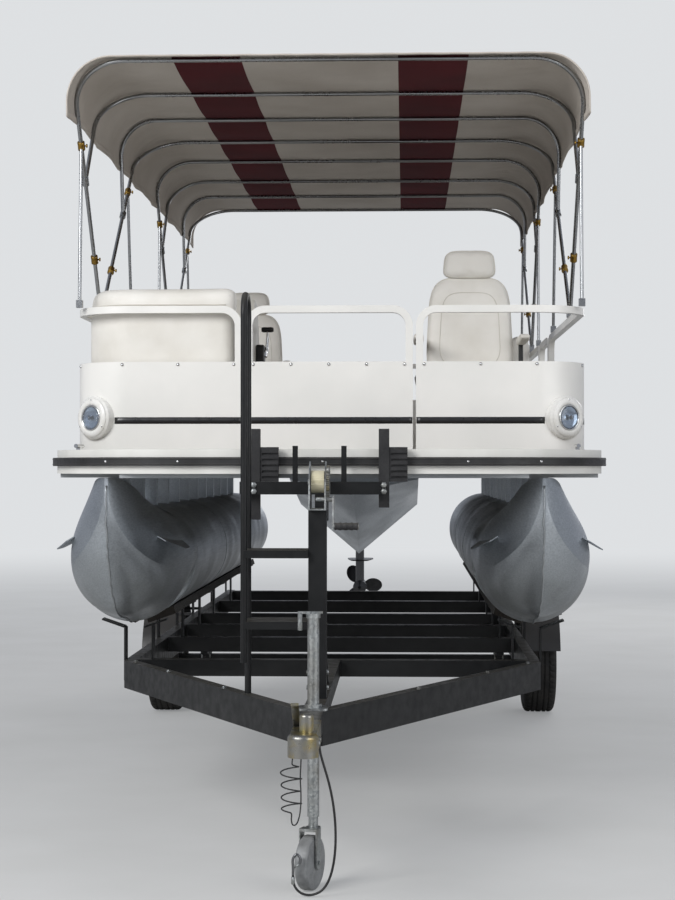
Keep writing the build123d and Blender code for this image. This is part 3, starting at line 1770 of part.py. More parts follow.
def make_ladder():
    """Boarding steps between the winch post and a hand rail that stands on the A-frame."""
    front = aft(ladder_front_aft)
    rear = vertex_y - ladder_x * (arm_end_y - vertex_y) / frame_half_width + ladder_set_back
    ladder = rod(
        [
            (ladder_x, front, ladder_bottom_z),
            (ladder_x, front, ladder_top_z),
            (ladder_x, rear, ladder_top_z),
            (ladder_x, rear, frame_top_z),
        ],
        ladder_tube,
        [ladder_bend, ladder_bend],
    )
    for z in step_heights:
        ladder += block(
            (ladder_x, -post_size / 2), (front - step_overhang, rear + step_overhang), (z - step_thickness, z)
        )
    return ladder


def make_coupler():
    """A channel over the tongue's end that closes into a ball socket, with its latch on top."""
    nose_y = aft(coupler_front_aft)
    tongue_y = aft(tongue_front_aft)
    rear_y = tongue_y + coupler_lap
    ball_y = nose_y + coupler_head_radius
    inner = tongue_width / 2 + soft_gap
    outer = inner + coupler_wall
    low, high = coupler_bottom_z, frame_top_z + soft_gap + coupler_wall
    head = Pos(0, ball_y, (low + high) / 2) * Cylinder(coupler_head_radius, high - low)
    head = fillet(head.edges().sort_by(Axis.Z)[-1], coupler_head_round)
    body = head + block((-outer, outer), (ball_y, rear_y), (low, high))
    channel_ys = (tongue_y - soft_gap, rear_y + coupler_wall)
    body -= block((-inner, inner), channel_ys, (0.0, frame_top_z + soft_gap))
    body -= Pos(0, ball_y, low + ball_depth / 2) * Cylinder(ball_radius, ball_depth)
    dome = Pos(latch_dome_x, ball_y + 2 * latch_dome_radius, high + latch_dome_height / 2)
    dome *= Cylinder(latch_dome_radius, latch_dome_height)
    body += fillet(dome.edges().sort_by(Axis.Z)[-1], latch_dome_radius / 2)
    lever_y = tongue_y - coupler_lap / 3
    top_y = ball_y + 2 * latch_dome_radius
    body += side_profile(
        [
            (lever_y + coupler_lap, high),
            (lever_y, high),
            (top_y + latch_thickness, latch_top_z - latch_thickness),
            (top_y, latch_top_z - latch_thickness),
            (top_y, latch_top_z),
            (top_y + latch_thickness, latch_top_z),
            (lever_y, high + 2 * latch_thickness),
            (lever_y + coupler_lap, high + latch_thickness),
        ],
        -outer,
        latch_width - outer,
    )
    return group(body, make_hook())


def make_hook():
    """The snap hook on the safety cable's end, leaning up from the ground."""
    x, y, z = hook_start
    path = [(x + out, y, z + up) for out, up in hook_bends]
    return rod(path, hook_radius, cord_radii(path))


def upright(radius, low, high):
    """A round bar on the jack's axis."""
    return Pos(0, jack_y, (low + high) / 2) * Cylinder(radius, high - low)


def make_jack():
    """Jack through the A-frame: flange, outer tube with its crank, sliding leg, caster fork and wheel."""
    flange_top = frame_top_z + jack_flange_thickness
    half = jack_flange / 2
    flange = block((-half, half), (jack_y - half, jack_y + half), (frame_top_z, flange_top))
    flange = fillet(flange.edges().filter_by(Axis.Z), jack_flange / 8)
    flange -= upright(jack_tube_radius + jack_hole_gap, frame_top_z, flange_top)

    bore = jack_leg_radius + jack_leg_gap
    tube = upright(jack_tube_radius, jack_tube_bottom_z, jack_tube_top_z)
    tube += upright(jack_collar_radius, flange_top, flange_top + jack_collar_height)
    cap_top = jack_tube_top_z + jack_cap_height
    tube += upright(jack_cap_radius, jack_tube_top_z, cap_top)
    tube -= upright(bore, jack_tube_bottom_z, jack_tube_top_z - jack_tube_end)
    tube += block(
        (jack_crank_low_x, jack_crank_high_x),
        (jack_y - jack_crank_width / 2, jack_y + jack_crank_width / 2),
        (cap_top, cap_top + jack_crank_thickness),
    )
    tube += Pos(jack_crank_low_x + jack_grip_radius, jack_y, cap_top - jack_grip_length / 2) * Cylinder(
        jack_grip_radius, jack_grip_length
    )

    crown_top = caster_crown_z + caster_crown_thickness
    leg_top = jack_tube_top_z - jack_tube_end - moving_gap
    leg = upright(jack_leg_radius, crown_top + soft_gap, leg_top)
    pin_top = crown_top + caster_pin_length
    leg -= upright(caster_pin_radius + soft_gap, crown_top, pin_top + soft_gap)

    fork_half = jack_wheel_width / 2 + caster_cheek
    cheek_outer = fork_half + caster_cheek
    fork = Pos(0, 0, (caster_crown_z + crown_top) / 2) * Cylinder(caster_crown_radius, caster_crown_thickness)
    fork += block(
        (-cheek_outer, cheek_outer),
        (-caster_trail - caster_cheek_width / 2, -caster_trail + caster_cheek_width / 2),
        (caster_crown_z, crown_top),
    )
    fork += Pos(0, 0, (crown_top + pin_top) / 2) * Cylinder(caster_pin_radius, caster_pin_length)
    for x in (-cheek_outer, fork_half):
        cheek = block(
            (x, x + caster_cheek),
            (-caster_trail - caster_cheek_width / 2, -caster_trail + caster_cheek_width / 2),
            (jack_wheel_radius - caster_cheek_width / 2, caster_crown_z),
        )
        fork += fillet(cheek.edges().filter_by(Axis.X).sort_by(Axis.Z)[:2], caster_cheek_width * 0.4)
    hub = Pos(0, -caster_trail, jack_wheel_radius) * Rot(0, 90, 0)
    fork += hub * Cylinder(caster_axle_radius, 2 * cheek_outer + 2 * caster_cheek)
    wheel = Cylinder(jack_wheel_radius, jack_wheel_width)
    wheel = fillet(wheel.edges(), jack_wheel_width / 5)
    wheel -= Cylinder(caster_axle_radius + jack_leg_gap, jack_wheel_width)
    place = Pos(0, jack_y, 0) * Rot(0, 0, caster_turn)
    return {
        "jack_bracket": flange,
        "jack_tube": tube,
        "jack_leg": leg,
        "jack_fork": place * fork,
        "jack_wheel": place * hub * wheel,
    }


def cord_radii(points):
    """Each arc takes 0.45 of the shorter run beside it, divided by the tangent of half the turn."""
    radii = []
    for before, here, after in zip(points, points[1:], points[2:]):
        first = Vector(*here) - Vector(*before)
        second = Vector(*after) - Vector(*here)
        turn = math.radians(first.get_angle(second))
        radii.append(0.45 * min(first.length, second.length) / math.tan(turn / 2))
    return radii


def cord(name, points, radius):
    radii = cord_radii(points)
    print(name, "radii", [round(value, 1) for value in radii])
    return rod(points, radius, radii)


def make_cables():
    """The safety cable drops from the tongue to its hook; the curly breakaway cable hangs ahead of it."""
    y = aft(cable_aft)
    low = frame_top_z - tongue_width
    safety = [
        (28.0, y, low),
        (28.0, y, 536.0),
        (44.0, y - 2.0, 480.0),
        (62.0, y - 4.0, 422.0),
        (76.0, y - 6.0, 362.0),
        (85.0, y - 8.0, 300.0),
        (89.0, y - 9.0, 238.0),
        (88.0, y - 8.0, 176.0),
        (81.0, y - 7.0, 116.0),
        (66.0, y - 6.0, 62.0),
        (42.0, y - 6.0, 24.0),
        (8.0, y - 8.0, 8.0),
        (-25.0, y - 7.0, 8.0),
        (-51.0, y - 5.0, 23.0),
        (hook_start[0], hook_start[1], hook_start[2] - 30.0),
        hook_start,
    ]
    y = aft(curly_aft)
    x = curly_x
    coil = Pos(x, y, (curly_bottom_z + curly_top_z) / 2) * Cylinder(
        curly_coil_radius, curly_top_z - curly_bottom_z
    )
    lead = [
        (x, y, curly_top_z - 4.0),
        (x, y, curly_top_z + 22.0),
        (x + 24.0, y, curly_top_z + 42.0),
        (x + 24.0, y, low),
    ]
    tail = [
        (x, y, curly_bottom_z + 4.0),
        (x, y, curly_bottom_z - 35.0),
        (x + 14.0, y + 55.0, curly_bottom_z - 50.0),
        (x + 28.0, y + 86.0, curly_bottom_z - 6.0),
        (x + 30.0, y + 92.0, curly_bottom_z + 56.0),
        (x + 26.0, y + 90.0, curly_bottom_z + 116.0),
        (x + 30.0, y + 92.0, curly_bottom_z + 176.0),
        (x + 30.0, y + 92.0, low),
    ]
    breakaway = coil
    breakaway += cord("breakaway lead", lead, curly_cable_radius)
    breakaway += cord("breakaway tail", tail, curly_cable_radius)
    return {"safety_cable": cord("safety_cable", safety, cable_radius), "breakaway_cable": breakaway}


nodes = {}
nodes["pontoon_starboard"] = pontoon(-pontoon_spacing / 2)
nodes["pontoon_port"] = pontoon(pontoon_spacing / 2)
nodes["deck_members"] = make_deck_members()
nodes["deck"] = make_deck()
nodes["deck_edge"] = make_deck_edge()
nodes["rub_rail"] = make_rub_rail()
nodes.update(make_fences())
nodes.update(make_gates())
nodes.update(make_bow_couch())
for row in chair_table:
    nodes.update(chair_parts(*row))
console, wheel_plane = make_console()
nodes["helm_console"] = console
nodes["steering_wheel"] = make_steering_wheel(wheel_plane)
nodes.update(make_stern_lounge())
nodes.update(make_bimini())
nodes["bimini_canopy"] = make_canopy()
nodes["docking_lights"] = make_docking_lights()
nodes["cleats"] = make_cleats()
nodes["motor_pod"] = make_motor_pod()
nodes.update(make_motor())
nodes["trailer_a_frame"] = make_a_frame()
nodes["trailer_rails"] = make_rails()
nodes["trailer_members"] = make_members()
nodes["trailer_brackets"] = make_brackets()
nodes["trailer_bunks"] = make_bunks()
nodes.update(make_axle())
nodes["tyre_starboard"], nodes["rim_starboard"] = make_wheel(-1)
nodes["tyre_port"], nodes["rim_port"] = make_wheel(1)
nodes["trailer_fenders"] = make_fenders()
nodes["tail_lights"] = make_tail_lights()
nodes["winch_stand"] = make_winch_stand()
nodes["bow_stops"] = make_bow_stops()
nodes["winch"] = make_winch()
nodes["winch_strap"] = make_winch_strap()
nodes["trailer_ladder"] = make_ladder()
nodes["coupler"] = make_coupler()
nodes.update(make_jack())
nodes.update(make_cables())

os.makedirs("parts", exist_ok=True)
for name, shape in nodes.items():
    export_step(shape, f"parts/{name}.step")
print(len(nodes), "nodes")
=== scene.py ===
import bmesh
import bpy
import json
import math
import numpy as np
from mathutils.bvhtree import BVHTree
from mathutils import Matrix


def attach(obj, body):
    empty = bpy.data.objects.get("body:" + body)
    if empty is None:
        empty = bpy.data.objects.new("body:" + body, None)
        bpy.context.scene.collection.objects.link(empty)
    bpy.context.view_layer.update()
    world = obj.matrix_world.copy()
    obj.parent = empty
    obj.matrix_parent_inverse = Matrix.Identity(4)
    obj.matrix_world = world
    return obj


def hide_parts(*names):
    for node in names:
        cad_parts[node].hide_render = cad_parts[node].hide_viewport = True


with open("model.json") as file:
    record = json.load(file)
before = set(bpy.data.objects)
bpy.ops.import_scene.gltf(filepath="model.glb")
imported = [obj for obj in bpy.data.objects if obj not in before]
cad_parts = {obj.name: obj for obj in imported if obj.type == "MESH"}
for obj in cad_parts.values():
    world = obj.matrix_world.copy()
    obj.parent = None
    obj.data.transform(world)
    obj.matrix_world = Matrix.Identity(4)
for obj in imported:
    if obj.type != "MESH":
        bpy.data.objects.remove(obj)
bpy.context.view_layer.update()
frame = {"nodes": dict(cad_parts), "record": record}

nodes = frame["nodes"]
print("frame loaded,", len(nodes), "nodes")

# Measures that several pieces share, in metres
boat = {
    "deckFront": -2.5675,     # front edge of the deck
    "fenceHalf": 1.158,       # outer face of the side panels
    "fenceFront": 0.6,        # distance behind the deck's front edge
    "fenceRear": 5.25,
    "fenceRadius": 0.25,
}
root = "boat_and_trailer"     # the body that everything without a joint rides on


def aft(distance):
    return boat["deckFront"] + distance


# Small tools

def hexColour(text, alpha=1.0):
    # sRGB hex to the linear values that shaders take
    channels = [int(text[i:i + 2], 16) / 255 for i in (1, 3, 5)]
    linear = [c / 12.92 if c <= 0.04045 else ((c + 0.055) / 1.055) ** 2.4 for c in channels]
    return (*linear, alpha)


def addNode(tree, kind, settings=None, links=None):
    # settings name a property or an input socket, links an input socket and the output that feeds it
    node = tree.nodes.new("ShaderNode" + kind)
    for name, value in (settings or {}).items():
        if isinstance(name, str) and hasattr(node, name):
            setattr(node, name, value)
        else:
            node.inputs[name].default_value = value
    for name, output in (links or {}).items():
        tree.links.new(output, node.inputs[name])
    return node


def newMaterial(name, roughness=0.5, metallic=0.0, extra=None):
    # a material with its shader's uniform values set, and its object coordinates
    material = bpy.data.materials.new(name)
    material.use_nodes = True
    tree = material.node_tree
    shader = tree.nodes["Principled BSDF"]
    shader.inputs["Roughness"].default_value = roughness
    shader.inputs["Metallic"].default_value = metallic
    for socket, value in (extra or {}).items():
        shader.inputs[socket].default_value = value
    place = addNode(tree, "TexCoord").outputs["Object"]
    return material, tree, shader, place


def blendColours(tree, factor, first, second):
    # first and second are hex colours or outputs
    mix = addNode(tree, "Mix", {"data_type": "RGBA"}, {0: factor})
    for socket, value in ((6, first), (7, second)):
        if isinstance(value, str):
            mix.inputs[socket].default_value = hexColour(value)
        else:
            tree.links.new(value, mix.inputs[socket])
    return mix.outputs[2]


def meshFrom(name, points, faces, smooth=True):
    # a linked object at the origin from an array of points and lists of point numbers
    mesh = bpy.data.meshes.new(name)
    faces = faces.tolist() if isinstance(faces, np.ndarray) else [[int(i) for i in face] for face in faces]
    mesh.from_pydata(np.asarray(points).reshape(-1, 3).tolist(), [], faces)
    mesh.polygons.foreach_set("use_smooth", np.full(len(mesh.polygons), smooth))
    mesh.update()
    piece = bpy.data.objects.new(name, mesh)
    bpy.context.scene.collection.objects.link(piece)
    return piece


def gridFaces(rows, columns, wrapRows=False, wrapColumns=False):
    # quads between neighbours of a rows x columns grid of points
    r = np.arange(rows if wrapRows else rows - 1)
    c = np.arange(columns if wrapColumns else columns - 1)
    r, c = np.meshgrid(r, c, indexing="ij")
    r, c = r.ravel(), c.ravel()
    nextR, nextC = (r + 1) % rows, (c + 1) % columns
    corners = [r * columns + c, r * columns + nextC, nextR * columns + nextC, nextR * columns + c]
    return np.stack(corners, axis=1)


def fullTurn(count):
    # angles at even shares of a full turn, the last one short of it
    return np.linspace(0, 2 * math.pi, count, endpoint=False)


def coordsOf(mesh):
    coords = np.empty(len(mesh.vertices) * 3)
    mesh.vertices.foreach_get("co", coords)
    return coords.reshape(-1, 3)


def moveCoords(mesh, coords):
    mesh.vertices.foreach_set("co", coords.ravel())
    mesh.update()


def reachAlong(line):
    # distance from the start of a line to each of its points
    return np.concatenate([[0], np.cumsum(np.linalg.norm(np.diff(line, axis=0), axis=1))])


def pointsAt(line, reach, at):
    # the points of a line at the given distances from its start
    return np.stack([np.interp(at, reach, line[:, i]) for i in range(line.shape[1])], axis=1)


def finishPiece(piece, body, slotName, material=None, standsFor=()):
    # gives a piece its material, or else its slot's usual one, and the body it rides on, and hides
    # the CAD nodes it stands for
    piece.data.materials.append(material or finishes[slotName])
    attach(piece, body)
    if standsFor:
        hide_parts(*standsFor)
    return piece


def tubeAlong(name, path, radius, sides=12, closed=False, section=None):
    # a circle, or the (across, up) section given, carried along the path with no twist;
    # radius is one value or one for each point, and the two ends are closed with a centre point
    path = np.asarray(path, dtype=float)
    count = len(path)
    if closed:
        along = np.roll(path, -1, axis=0) - np.roll(path, 1, axis=0)
    else:
        along = np.gradient(path, axis=0)
    along /= np.linalg.norm(along, axis=1, keepdims=True)
    across = np.cross(along, [0.0, 0.0, 1.0])
    weak = np.linalg.norm(across, axis=1) < 0.05
    across[weak] = np.cross(along[weak], [0.0, 1.0, 0.0])
    across /= np.linalg.norm(across, axis=1, keepdims=True)
    for i in range(1, count):   # no sudden flips from one point to the next
        if np.dot(across[i], across[i - 1]) < 0:
            across[i] = -across[i]
    up = np.cross(across, along)
    if section is None:
        turn = fullTurn(sides)
        section = np.stack([np.cos(turn), np.sin(turn)], axis=1)
        scale = np.broadcast_to(np.asarray(radius, dtype=float), (count,))
    else:
        section = np.asarray(section, dtype=float)
        sides = len(section)
        scale = np.ones(count)
    points = path[:, None, :] + scale[:, None, None] * (
        section[None, :, 0, None] * across[:, None, :] + section[None, :, 1, None] * up[:, None, :])
    faces = gridFaces(count, sides, wrapRows=closed, wrapColumns=True)
    points = points.reshape(-1, 3)
    if closed:
        return outward(meshFrom(name, points, faces))
    points = np.concatenate([points, path[:1], path[-1:]])
    ring = np.arange(sides)
    following = (ring + 1) % sides
    last = (count - 1) * sides
    caps = [[count * sides, b, a] for a, b in zip(ring, following)]
    caps += [[count * sides + 1, last + a, last + b] for a, b in zip(ring, following)]
    return outward(meshFrom(name, points, faces.tolist() + caps))


def outward(piece):
    # turns every face outwards on a closed mesh
    work = bmesh.new()
    work.from_mesh(piece.data)
    bmesh.ops.remove_doubles(work, verts=work.verts, dist=1e-6)
    bmesh.ops.recalc_face_normals(work, faces=work.faces)
    work.to_mesh(piece.data)
    work.free()
    return piece


def turned(name, profile, centre, axis, sides=48):
    # a profile of (radius, height) points turned about an axis through the centre
    profile = np.asarray(profile, dtype=float)
    axis = np.asarray(axis, dtype=float) / np.linalg.norm(axis)
    helper = np.array([0.0, 0.0, 1.0]) if abs(axis[2]) < 0.9 else np.array([1.0, 0.0, 0.0])
    first = np.cross(axis, helper)
    first /= np.linalg.norm(first)
    second = np.cross(axis, first)
    turn = fullTurn(sides)
    ring = np.cos(turn)[:, None] * first + np.sin(turn)[:, None] * second
    points = (np.asarray(centre) + profile[:, 0][None, :, None] * ring[:, None, :]
              + profile[:, 1][None, :, None] * axis)
    return outward(meshFrom(name, points, gridFaces(sides, len(profile), wrapRows=True)))


def joined(name, pieces):
    # one object from several, with their meshes kept where they are
    points, faces, start = [], [], 0
    for piece in pieces:
        mesh = piece.data
        points.append(coordsOf(mesh))
        faces += [[v + start for v in polygon.vertices] for polygon in mesh.polygons]
        start += len(mesh.vertices)
        bpy.data.objects.remove(piece)
        bpy.data.meshes.remove(mesh)
    return meshFrom(name, np.concatenate(points), faces)


def beveled(piece, width, segments=2, angle=35.0):
    # rounds the sharp edges of a hard piece
    modifier = piece.modifiers.new("roundedEdges", "BEVEL")
    modifier.width = width
    modifier.segments = segments
    modifier.angle_limit = math.radians(angle)
    modifier.limit_method = "ANGLE"
    return piece


def prism(name, outline, origin, across, up, depth):
    # an outline of (across, up) points given a depth along the third direction
    outline = np.asarray(outline, dtype=float)
    across, up = np.asarray(across, dtype=float), np.asarray(up, dtype=float)
    through = np.cross(across, up)
    flat = np.asarray(origin) + outline[:, :1] * across + outline[:, 1:] * up
    count = len(outline)
    points = np.concatenate([flat, flat + depth * through])
    sides = [[i, (i + 1) % count, (i + 1) % count + count, i + count] for i in range(count)]
    faces = sides + [list(range(count))[::-1], list(range(count, 2 * count))]
    return outward(meshFrom(name, points, faces, smooth=False))


def roundedOutline(halfWidth, halfHeight, radius, steps=6):
    # a rectangle with rounded corners, as (across, up) points going round
    turn = np.linspace(0, math.pi / 2, steps)
    points = []
    for number, (sx, sy) in enumerate(((1, 1), (-1, 1), (-1, -1), (1, -1))):
        angle = turn + number * math.pi / 2
        points.append(np.stack([sx * (halfWidth - radius) + radius * np.cos(angle),
                                sy * (halfHeight - radius) + radius * np.sin(angle)], axis=1))
    return np.concatenate(points)


def fenceLine(offset, start, end, step=0.02):
    # the fence's outline seen from above, moved out by offset: straight, a quarter circle, straight;
    # distance 0 is the middle of the bow, and start and end are negative to starboard
    radius = boat["fenceRadius"] + offset
    straight = boat["fenceHalf"] - boat["fenceRadius"]
    arc = radius * math.pi / 2
    count = max(2, int(abs(end - start) / step) + 1)
    s = np.linspace(start, end, count)
    side, far = np.sign(s), np.abs(s)
    angle = np.clip((far - straight) / radius, 0, math.pi / 2)
    x = np.minimum(far, straight) + radius * np.sin(angle)
    y = aft(boat["fenceFront"]) - offset + radius * (1 - np.cos(angle)) + np.maximum(far - straight - arc, 0)
    return np.stack([side * x, y], axis=1)


# Camera

photo = {
    "width": 675,
    "height": 900,
    "focalPixels": 1850.0,   # distance to the picture plane in pixels
    "vanishX": 405.0,        # where lines along the boat meet
    "horizonY": 469.0,
    "place": (0.34, -10.2175, 1.55),
}
camera = bpy.data.cameras.new("camera")
cameraObject = bpy.data.objects.new("camera", camera)
bpy.context.scene.collection.objects.link(cameraObject)
camera.sensor_fit = "VERTICAL"
camera.sensor_height = 36.0
camera.lens = photo["focalPixels"] * camera.sensor_height / photo["height"]
turn = math.atan((photo["vanishX"] - photo["width"] / 2) / photo["focalPixels"])
rise = math.atan((photo["horizonY"] - photo["height"] / 2) / photo["focalPixels"])
cameraObject.location = photo["place"]
cameraObject.rotation_euler = (math.pi / 2 + rise, 0, turn)
camera.clip_end = 200
bpy.context.scene.camera = cameraObject
bpy.context.scene.view_settings.view_transform = "Standard"


# Materials

def mottle(tree, place, scale, detail=4.0, low=0.3, high=0.7):
    # soft patches from 0 to 1, scale in patches per metre
    noise = addNode(tree, "TexNoise", {"Scale": scale, "Detail": detail}, {"Vector": place})
    ramp = addNode(tree, "MapRange", {"From Min": low, "From Max": high},
                   {"Value": noise.outputs["Fac"]})
    return ramp.outputs["Result"]


def coloured(tree, shader, colour):
    tree.links.new(colour, shader.inputs["Base Color"])


def rougher(tree, shader, factor, low, high):
    # roughness that follows a pattern
    ramp = addNode(tree, "MapRange", {"To Min": low, "To Max": high}, {"Value": factor})
    tree.links.new(ramp.outputs["Result"], shader.inputs["Roughness"])


def raised(tree, shader, height, distance, strength=1.0, below=None):
    # a bump of the given depth in metres, on top of another one
    bump = addNode(tree, "Bump", {"Distance": distance, "Strength": strength}, {"Height": height})
    if below is not None:
        tree.links.new(below, bump.inputs["Normal"])
    tree.links.new(bump.outputs["Normal"], shader.inputs["Normal"])
    return bump.outputs["Normal"]


def dustOnTop(tree, colour, dust, amount):
    # settled dust on faces that look up
    normal = addNode(tree, "NewGeometry").outputs["Normal"]
    up = addNode(tree, "SeparateXYZ", None, {"Vector": normal}).outputs["Z"]
    share = addNode(tree, "MapRange", {"From Min": 0.2, "From Max": 1.0, "To Max": amount},
                    {"Value": up})
    return blendColours(tree, share.outputs["Result"], colour, dust)


def painted(name, colours, roughness, scale=2.5, peel=420.0, peelDepth=0.00012, coat=0.0, dust=None,
            specular=0.5):
    # sprayed, powder-coated or moulded: patchy colour, orange peel, a little dust where it can lie
    extra = {"Coat Weight": coat, "Specular IOR Level": specular}
    material, tree, shader, place = newMaterial(name, extra=extra)
    patches = mottle(tree, place, scale)
    colour = blendColours(tree, patches, *colours)
    if dust:
        colour = dustOnTop(tree, colour, *dust)
    coloured(tree, shader, colour)
    rougher(tree, shader, mottle(tree, place, scale * 6), *roughness)
    grain = addNode(tree, "TexNoise", {"Scale": peel, "Detail": 2.0}, {"Vector": place})
    raised(tree, shader, grain.outputs["Fac"], peelDepth, 0.6)
    return material


def metal(name, colours, roughness, stretch=(1.0, 1.0, 1.0), scale=60.0, depth=0.0002):
    # bare metal: fine marks stretched along the way it was rolled or drawn
    material, tree, shader, place = newMaterial(name, metallic=1.0)
    stretched = addNode(tree, "Mapping", {"Scale": stretch}, {"Vector": place}).outputs["Vector"]
    marks = mottle(tree, stretched, scale, 6.0)
    patches = mottle(tree, place, 2.2)
    both = addNode(tree, "Math", {"operation": "MULTIPLY_ADD", 1: 0.5}, {0: marks, 2: patches})
    half = addNode(tree, "Math", {"operation": "MULTIPLY", 1: 0.67}, {0: both.outputs[0]})
    coloured(tree, shader, blendColours(tree, half.outputs[0], *colours))
    rougher(tree, shader, half.outputs[0], *roughness)
    raised(tree, shader, marks, depth, 0.35)
    return material


# White powder-coated aluminium sheet: smooth, satin, faintly patchy from sun and rinsing
panelWhite = painted("powderCoatedPanel", ("#eceae5", "#e0dfda"), (0.28, 0.42), peel=300.0, coat=0.15)
# The extruded deck trim in the same finish, a little duller from feet and mooring lines
trimWhite = painted("powderCoatedTrim", ("#e4e3de", "#d3d2cc"), (0.35, 0.55), scale=5.0,
                    dust=("#b9b2a4", 0.25))
# Rotomoulded polyethylene seat bases and console: off-white with a pebbled mould texture
shellPlastic, tree, shader, place = newMaterial("rotomouldedPolyethylene", extra={"Specular IOR Level": 0.4})
coloured(tree, shader, blendColours(tree, mottle(tree, place, 3.0), "#dedbd2", "#cfccc2"))
pebbles = addNode(tree, "TexVoronoi", {"Scale": 260.0}, {"Vector": place})   # 4 mm pebbles
raised(tree, shader, pebbles.outputs["Distance"], 0.0005, 0.5)
rougher(tree, shader, mottle(tree, place, 24.0), 0.42, 0.6)
# White moulded ABS of the light housings
lightPlastic = painted("mouldedAbs", ("#e9e8e4", "#dedcd6"), (0.22, 0.35), scale=14.0, peel=700.0, coat=0.2)


# Marine vinyl: embossed leather grain of small cells with a soft sheen, drawn at 3 mm so that it shows
def marineVinyl(name, colours):
    material, tree, shader, place = newMaterial(name, extra={"Sheen Weight": 0.08, "Sheen Roughness": 0.4})
    cells = addNode(tree, "TexVoronoi", {"Scale": 330.0, "feature": "DISTANCE_TO_EDGE"},
                    {"Vector": place})
    cut = addNode(tree, "MapRange", {"From Max": 0.12}, {"Value": cells.outputs["Distance"]})
    coloured(tree, shader, blendColours(tree, mottle(tree, place, 6.0), *colours))
    rougher(tree, shader, mottle(tree, place, 30.0), 0.4, 0.56)
    soft = addNode(tree, "TexNoise", {"Scale": 16.0, "Detail": 2.0}, {"Vector": place})
    below = raised(tree, shader, soft.outputs["Fac"], 0.004, 0.35)
    raised(tree, shader, cut.outputs["Result"], 0.0004, 0.45, below)
    return material


vinyl = marineVinyl("marineVinyl", ("#e6e3dc", "#d9d5cc"))
vinylPiping = marineVinyl("vinylPiping", ("#d2cec4", "#c4bfb4"))

# Marine carpet on the deck: short loops 3 mm apart, sand and brown yarns mixed
carpet, tree, shader, place = newMaterial("loopPileCarpet", 0.95, extra={"Sheen Weight": 0.2})
loops = addNode(tree, "TexVoronoi", {"Scale": 320.0}, {"Vector": place})
yarn = blendColours(tree, loops.outputs["Distance"], "#5c5449", "#93897a")
coloured(tree, shader, blendColours(tree, mottle(tree, place, 7.0), yarn, "#7c7366"))
raised(tree, shader, loops.outputs["Distance"], 0.003, 0.9)
# Bunk carpet: darker needle felt, worn and weathered
bunkFelt, tree, shader, place = newMaterial("needleFeltCarpet", 0.95, extra={"Sheen Weight": 0.15})
fibres = addNode(tree, "TexNoise", {"Scale": 420.0, "Detail": 4.0}, {"Vector": place})
yarn = blendColours(tree, fibres.outputs["Fac"], "#1b1815", "#453e36")
coloured(tree, shader, blendColours(tree, mottle(tree, place, 5.0), yarn, "#2a2622"))
raised(tree, shader, fibres.outputs["Fac"], 0.003, 0.8)

# Mill-finish aluminium sheet of the pontoons: rolled lengthwise, dulled, and darker in patches towards the
# bottom of each tube
hullMetal, tree, shader, place = newMaterial("millFinishAluminium", metallic=1.0)
rolled = addNode(tree, "Mapping", {"Scale": (1.0, 0.03, 1.0)}, {"Vector": place}).outputs["Vector"]
marks = mottle(tree, rolled, 160.0, 6.0)
blotches = mottle(tree, place, 3.4, 7.0, 0.35, 0.62)
sheet = blendColours(tree, marks, "#a8aeb4", "#bfc5ca")
height = addNode(tree, "SeparateXYZ", None, {"Vector": place}).outputs["Z"]
# darker in patches towards the bottom of the tube, below about 1.22 m and most below 0.98 m, up to 55 % of
# the way to a grey-green
towardsBottom = addNode(tree, "MapRange", {"From Min": 1.22, "From Max": 0.98, "To Max": 0.55},
              {"Value": height})
darkerLow = addNode(tree, "Math", {"operation": "MULTIPLY"}, {0: blotches, 1: towardsBottom.outputs["Result"]})
coloured(tree, shader, blendColours(tree, darkerLow.outputs[0], sheet, "#7d7f7c"))
rougher(tree, shader, blotches, 0.3, 0.47)
wave = addNode(tree, "TexNoise", {"Scale": 4.0, "Detail": 1.5}, {"Vector": place})
below = raised(tree, shader, wave.outputs["Fac"], 0.012, 0.5)   # the shallow dents of thin sheet
raised(tree, shader, marks, 0.0001, 0.3, below)

# Extruded aluminium of the cross-members: fine die lines across, oxidised to a dull grey
frameMetal = metal("extrudedAluminium", ("#9ea1a3", "#b7babb"), (0.34, 0.5), (30.0, 1.0, 1.0))
# Anodised tube of the canopy's bows: an even satin that keeps long highlights
tubeMetal = metal("anodisedTube", ("#8d8f91", "#aaacae"), (0.22, 0.34), scale=70.0, depth=0.00003)
# Chromed zinc die castings: a bright mirror with a faint cloud
chrome = metal("chromedZinc", ("#cfd0d0", "#dcdddd"), (0.08, 0.16), scale=20.0, depth=0.00005)
# Sprayed silver wheel paint over pressed steel: flat metallic grey under brake dust
rimMetal = painted("silverWheelPaint", ("#c2c4c5", "#a9abac"), (0.3, 0.45), scale=8.0, dust=("#7d766a", 0.3))
# Cast brass left outdoors: gold that browns in patches
brass = metal("weatheredBrass", ("#b08d45", "#7d6330"), (0.25, 0.42), scale=90.0)
# Aluminium weld metal: bright ripples, rougher than the sheet beside it
weldBead = metal("weldBead", ("#b9bdc0", "#8f9497"), (0.35, 0.5), scale=140.0, depth=0.001)

# Hot-dip galvanised steel: flat zinc crystals of 6 to 10 mm in slightly different greys
galvanised, tree, shader, place = newMaterial("hotDipGalvanised", metallic=1.0)
spangle = addNode(tree, "TexVoronoi", {"Scale": 130.0}, {"Vector": place})
shade = addNode(tree, "SeparateColor", None, {"Color": spangle.outputs["Color"]}).outputs["Red"]
grey = blendColours(tree, shade, "#8f9394", "#b3b6b5")
grey = blendColours(tree, mottle(tree, place, 9.0, 6.0, 0.45, 0.75), grey, "#7c776d")
coloured(tree, shader, grey)
rougher(tree, shader, shade, 0.34, 0.55)
raised(tree, shader, shade, 0.0002, 0.3)
